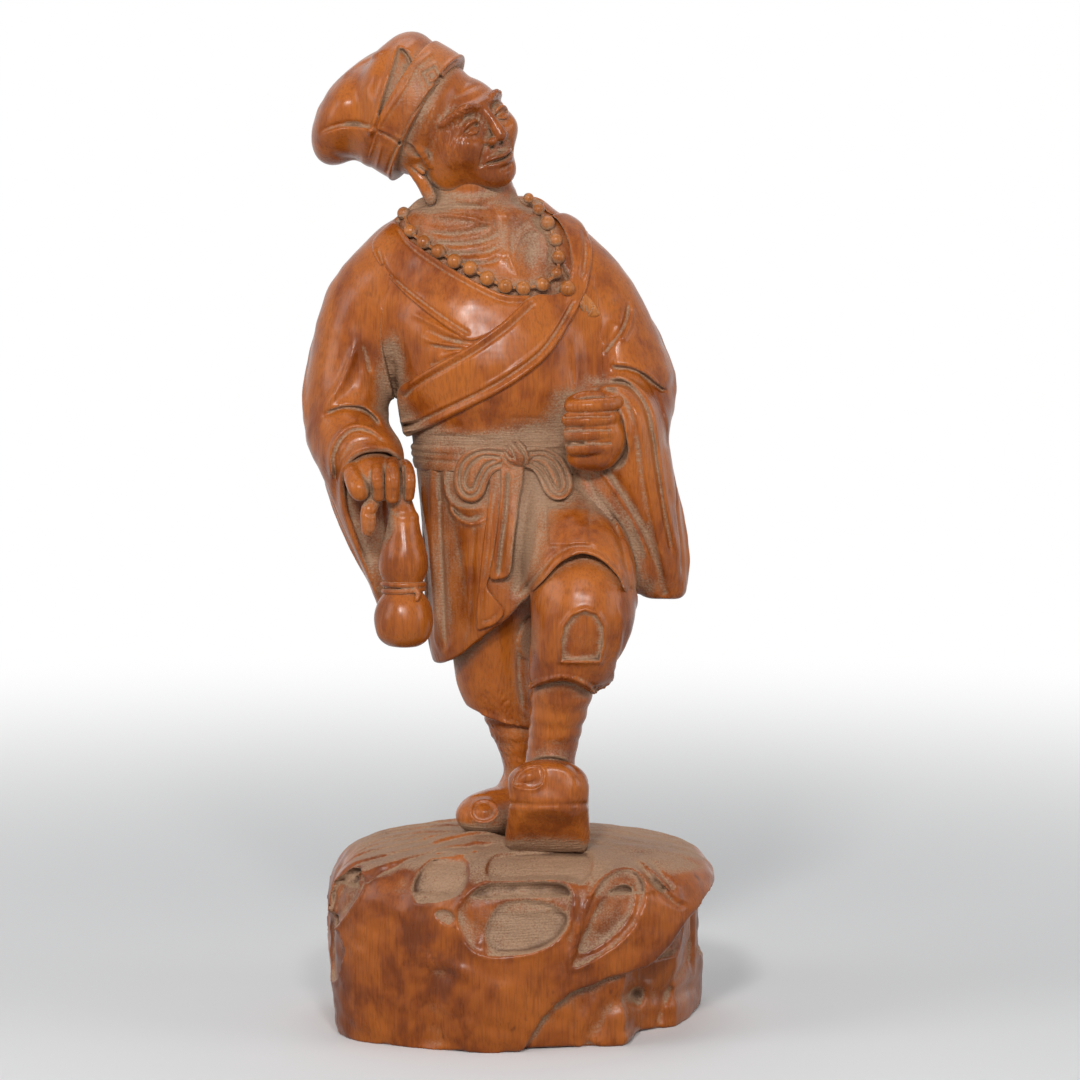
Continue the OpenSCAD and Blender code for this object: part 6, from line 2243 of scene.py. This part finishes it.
@dataclass
class Hands:
    """The hand that holds the gourd, the gourd with its cord, and the fist."""
    gourd_place: tuple = (-27.8, -22.4, 103.0)
    gourd_outline: tuple = ((0.0, -0.3), (3.8, 0.0), (6.7, 2.4), (7.7, 6.8), (6.7, 11.2), (5.0, 13.8),
        (4.7, 15.2), (5.2, 16.8), (6.3, 19.6), (6.3, 22.8), (5.4, 26.4), (4.6, 29.4), (4.0, 32.0),
        (3.4, 34.0), (0.0, 34.6))
    gourd_marks: tuple = (
        Spot([(405, 540), (10, 22)], 0.2), Stroke([(386, 520), (390, 530), (388, 540)], -0.35, 0.4),
        Stroke([(366, 513), (372, 515), (378, 513)], -0.4, 0.4),
        Stroke([(366, 531), (372, 534), (378, 531)], -0.35, 0.4),
    )
    grip_marks: tuple = (
        Stroke([(389, 466), (393, 480), (394, 500)], -0.5, 0.35, taper=0.05),
        Stroke([(405, 466), (405, 482), (404, 500)], -0.5, 0.35, taper=0.05),
        Stroke([(372, 466), (371, 480), (376, 498)], -0.4, 0.4), Spot([(363, 488), (6, 7)], 0.25),
        Stroke([(376, 482), (383, 481)], -0.2, 0.3), Stroke([(391, 481), (401, 480)], -0.2, 0.3),
        Stroke([(355, 462), (380, 458), (400, 464)], 0.3, 1.2),
    )

    def carve(self, shop: Workshop) -> None:
        """Carves the hands and the gourd."""
        self.carve_grip(shop)
        self.carve_fist(shop)

    def carve_grip(self, shop: Workshop) -> None:
        """Carves the right hand, the gourd and its cord."""
        thin = rod([(-34.5, -24.0, 141.5), (-36.4, -26.0, 138.6), (-36.6, -26.2, 133.4)],
                   [1.6, 1.9, 1.9], 0.4)
        thick = rod([(-27.6, -22.4, 136.4), (-29.6, -22.0, 143.0)], 3.2)
        gourd = Union([Lathe(self.gourd_place, self.gourd_outline), thin, thick], 1.0)
        front = Drawing(FRONT, self.gourd_marks)
        shop.carve(Carving("gourd", gourd, [front], 0.32, 0.08), Slot.SKIN)
        x, y, z = self.gourd_place
        wraps = []
        for height, r in ((14.5, 5.0), (16.0, 5.2)):
            loop = [(x + r * math.cos(a), y + r * math.sin(a), z + height + 0.3 * math.sin(a + height))
                    for a in np.linspace(0, 2 * math.pi, 17)]
            wraps.append(rod(loop, 0.72, 0.1))
        end = rod([(x + 3.2, y - 4.2, z + 15.2), (x + 4.0, y - 4.9, z + 14.0),
            (x + 3.6, y - 5.6, z + 12.6)], [0.8, 0.6, 0.5])
        cord = Union([*wraps, end], 0.2, reach=5.0)
        shop.carve(Carving("gourd_cord", cord, step=0.24, uneven=0.03), Slot.ROBE)

        palm = chain([[-37.6, -12.0, 149.6, 6.2, 6.2, 5.4], [-35.6, -18.4, 146.8, 6.2, 5.6, 4.6],
                      [-33.4, -22.0, 145.0, 5.8, 4.4, 4.2]], 2.0)
        fingers = [finger([(-33.8, -19.6, 149.4), (-34.2, -25.0, 148.6), (-34.2, -27.6, 146.2),
            (-34.0, -26.6, 142.2)], 1.75), finger([(-30.6, -19.8, 149.8), (-30.4, -26.0, 149.0),
            (-30.3, -28.6, 146.4), (-30.4, -27.6, 142.0)], 1.85), finger([(-27.6, -18.6, 149.4),
            (-26.5, -24.6, 148.8), (-26.1, -27.0, 146.0), (-26.3, -26.2, 142.2)], 1.65)]
        thumb = finger([(-41.2, -17.0, 149.0), (-40.8, -23.0, 147.4), (-39.6, -26.6, 144.8),
            (-38.8, -27.0, 143.2)], 2.5)
        hand = Union([palm, Union(fingers, 0.25), thumb], 1.1)
        marks = Drawing(FRONT, self.grip_marks)
        shop.carve(Carving("right_hand", hand, [marks], 0.26, 0.03), Slot.SKIN)

    def carve_fist(self, shop: Workshop) -> None:
        """Carves the fist: four stacked fingers, the thumb behind them and the heel of the hand."""
        heel = chain([[24.4, -14.0, 157.2, 6.6, 7.4, 7.4], [21.8, -19.6, 157.0, 7.2, 5.6, 7.6],
                      [20.8, -21.6, 156.6, 6.4, 3.8, 7.4]], 2.0)
        fingers = []
        for k, (u, w) in enumerate(((570, 1.85), (568, 1.95), (569, 1.95), (572, 1.85))):
            z = 165.2 - 3.57 * k
            left, right = (u - 512) / 3.92, 27.6 - 0.5 * k
            fingers.append(finger([(right, -19.6, z + 0.5), (right - 2.0, -24.2, z + 0.4),
                (right - 6.0, -26.4, z + 0.2), (left + 3.6, -26.6, z), (left + 0.8, -25.2, z - 0.1),
                (left + 1.0, -22.6, z - 0.1)], w))
        thumb = finger([(22.6, -19.0, 167.0), (18.4, -22.0, 167.2), (15.6, -23.2, 166.0)], 1.6)
        under = ball((20.6, -20.4, 151.4), (6.4, 5.0, 3.4))
        hand = Union([heel, Union(fingers, 0.3), thumb, under], 1.0)
        lines = [Stroke([(564, 417.5 + 13.3 * k), (590, 416.5 + 13.5 * k), (612, 416.5 + 13.4 * k)], -0.7,
            0.4, taper=0.03) for k in range(3)]
        lines += [Stroke([(586, 406 + 13.4 * k), (587, 413 + 13.4 * k)], -0.14, 0.4) for k in range(4)]
        shop.carve(Carving("left_hand", hand, [Drawing(FRONT, lines)], 0.26, 0.03), Slot.SKIN)


# The studio

@dataclass
class Studio:
    """The pale floor, the soft lights and the camera.

    Attributes:
        camera_place: Where the camera stands, in metres.
        lens: Its focal length in millimetres, on a 36 mm wide sensor.
        lamps: Each lamp's name, place, aim, size and power: two side by side in front, one at either side
            and one above.
        sky: Colour of the soft light from all round.
        sky_power: Its strength.
        floor_felt: The floor's colour to the light that it throws back.
        floor_seen: Its colour to the camera.
        fades: Distances between which it fades into the background.
    """
    camera_place: tuple = (0.0074, -1.0940, 0.2430)
    lens: float = 139.5
    lamps: tuple = (("key_left", (-0.16, -1.0, 0.62), (0, 0, 0.14), 0.13, 5.4),
                    ("key_right", (0.12, -1.0, 0.60), (0, 0, 0.14), 0.11, 3.0),
                    ("broad_left", (-0.95, -0.45, 0.55), (0, 0, 0.13), 0.55, 3.2),
                    ("broad_right", (1.0, -0.35, 0.40), (0, 0, 0.12), 0.5, 2.2),
                    ("top", (0.0, 0.25, 1.1), (0, 0, 0.15), 0.6, 2.4))
    sky: tuple = (0.90, 0.95, 1.0, 1.0)
    sky_power: float = 0.20
    floor_felt: tuple = (0.30, 0.29, 0.28, 1.0)
    floor_seen: tuple = (0.82, 0.82, 0.82, 1.0)
    fades: tuple = (0.14, 0.75)

    def build(self) -> None:
        """Builds the floor, the lights, the background and the camera."""
        bpy.context.scene.view_settings.view_transform = "Standard"
        self.floor()
        self.lights()
        self.background()
        data = bpy.data.cameras.new("studio_camera")
        data.lens, data.sensor_width = self.lens, 36.0
        camera = bpy.data.objects.new("studio_camera", data)
        camera.location = self.camera_place
        camera.rotation_euler = (math.radians(90.0 - FRONT.pitch), 0.0, 0.0)
        bpy.context.scene.collection.objects.link(camera)
        bpy.context.scene.camera = camera

    def floor(self) -> None:
        """Lays a wide pale floor that sweeps up behind the figure and fades into the white background."""
        mesh = bpy.data.meshes.new("studio_floor")
        side, back, rise, bends, top = 5.0, 2.2, 0.8, 12, 4.0
        rows = [(y, 0.0) for y in (-3.0, -1.0, 0.0, 1.0)]
        rows += [(back + rise * math.sin(a), rise * (1 - math.cos(a))) for a
            in np.linspace(0, math.pi / 2, bends)]
        rows += [(back + rise, top)]
        points = [(x, y, z) for y, z in rows for x in (-side, side)]
        mesh.from_pydata(points, [], [(2 * k, 2 * k + 1, 2 * k + 3, 2 * k + 2) for k
            in range(len(rows) - 1)])
        mesh.polygons.foreach_set("use_smooth", [True] * len(mesh.polygons))
        mat = bpy.data.materials.new("floor_matt")
        nodes = Nodes(mat)
        seen = nodes.seen_rays()
        colour = nodes.add("MixRGB", seen, self.floor_felt, self.floor_seen)
        matt = nodes.add("BsdfPrincipled", Base_Color=colour, Roughness=0.85)
        away = nodes.add("VectorMath", nodes.add("TexCoord").outputs["Object"],
            operation="LENGTH").outputs["Value"]
        fade = nodes.times(nodes.ranged(away, *self.fades), seen)
        nodes.add("OutputMaterial", nodes.add("MixShader", fade, matt, nodes.add("Emission")))
        mesh.materials.append(mat)
        floor = bpy.data.objects.new("studio_floor", mesh)
        bpy.context.scene.collection.objects.link(floor)

    def lights(self) -> None:
        """Sets the soft lights."""
        for name, place, aim, size, power in self.lamps:
            data = bpy.data.lights.new(name, "AREA")
            data.size, data.energy = size, power
            light = bpy.data.objects.new(name, data)
            light.location = place
            way = np.array(aim) - np.array(place)
            flat = math.hypot(way[0], way[1])
            light.rotation_euler = (math.atan2(flat, -way[2]), 0.0, math.atan2(way[1],
                way[0]) - math.pi / 2)
            bpy.context.scene.collection.objects.link(light)

    def background(self) -> None:
        """Makes the background white to the rays that see it and a soft grey to everything else."""
        world = bpy.data.worlds.new("studio_world")
        bpy.context.scene.world = world
        nodes = Nodes(world)
        soft = nodes.add("Background", self.sky, self.sky_power)
        white = nodes.add("Background", (1, 1, 1, 1), 1.0)
        nodes.add("OutputWorld", nodes.add("MixShader", nodes.seen_rays(), soft, white))


DUSTY = Stain([
    (490, 235, 70, 26, 0.50), (430, 205, 30, 16, 0.5), (535, 250, 20, 40, 0.4), (392, 365, 18, 34, 0.55),
    (535, 430, 46, 14, 0.50), (500, 444, 90, 9, 0.50), (470, 438, 60, 8, 0.35), (480, 475, 70, 36, 0.42),
    (540, 500, 26, 60, 0.50), (597, 505, 16, 22, 0.6), (525, 560, 22, 50, 0.50), (440, 590, 12, 70, 0.22),
    (460, 560, 22, 80, 0.18), (640, 515, 22, 50, 0.16), (648, 585, 30, 12, 0.5), (420, 100, 34, 40, 0.36),
    (425, 70, 22, 18, 0.3), (360, 150, 26, 16, 0.2), (405, 150, 14, 22, 0.35), (470, 200, 50, 10, 0.4),
    (430, 430, 30, 12, 0.4), (350, 450, 26, 14, 0.25), (370, 545, 10, 40, 0.4), (392, 525, 14, 14, 0.4),
    (410, 590, 20, 7, 0.35), (490, 690, 40, 40, 0.16), (505, 745, 14, 26, 0.35), (530, 640, 12, 24, 0.6),
    (565, 686, 40, 9, 0.35), (565, 715, 26, 22, 0.08), (440, 880, 28, 22, 0.45), (525, 928, 42, 22, 0.5),
    (540, 866, 52, 16, 0.55), (448, 915, 12, 7, 0.4), (550, 845, 40, 8, 0.35), (612, 915, 26, 34, 0.22),
    (350, 905, 12, 24, 0.25), (520, 1010, 60, 30, -0.1), (600, 1010, 60, 30, 0.18),
    (620, 385, 30, 10, 0.3), (650, 440, 12, 40, 0.25), (585, 640, 16, 20, 0.25), (485, 811, 14, 10, 0.2),
    (590, 460, 24, 8, -0.1), (400, 300, 20, 16, 0.1),
])


def dress_joinery(shop: Workshop) -> None:
    """Gives the hidden dowels, pegs and tenon their bare wood."""
    for obj in bpy.data.objects:
        if obj.type == "MESH" and any(key in obj.name for key in ("dowel", "peg", "tenon")):
            obj.data.materials.clear()
            obj.data.materials.append(shop.materials[Slot.DOWEL])
            LOG.info("dressed %s", obj.name)


def main() -> None:
    """Carves the figure, sets up the studio and reports."""
    logging.basicConfig(level=logging.INFO, format="%(name)s: %(message)s")
    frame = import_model()
    LOG.info("frame %s", sorted(frame)[:6])
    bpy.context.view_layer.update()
    shop = Workshop(DUSTY)
    Rock().carve(shop)
    Legs().carve(shop)
    skirt = Skirts()
    skirt.carve(shop)
    robe = Robe(skirt)
    Sash(robe.cloth).carve(shop)
    robe.carve(shop)
    Head().carve(shop)
    Necklace(robe).carve(shop)
    Hands().carve(shop)
    shop.finish()
    dress_joinery(shop)
    Studio().build()


if __name__ == "__main__":
    main()
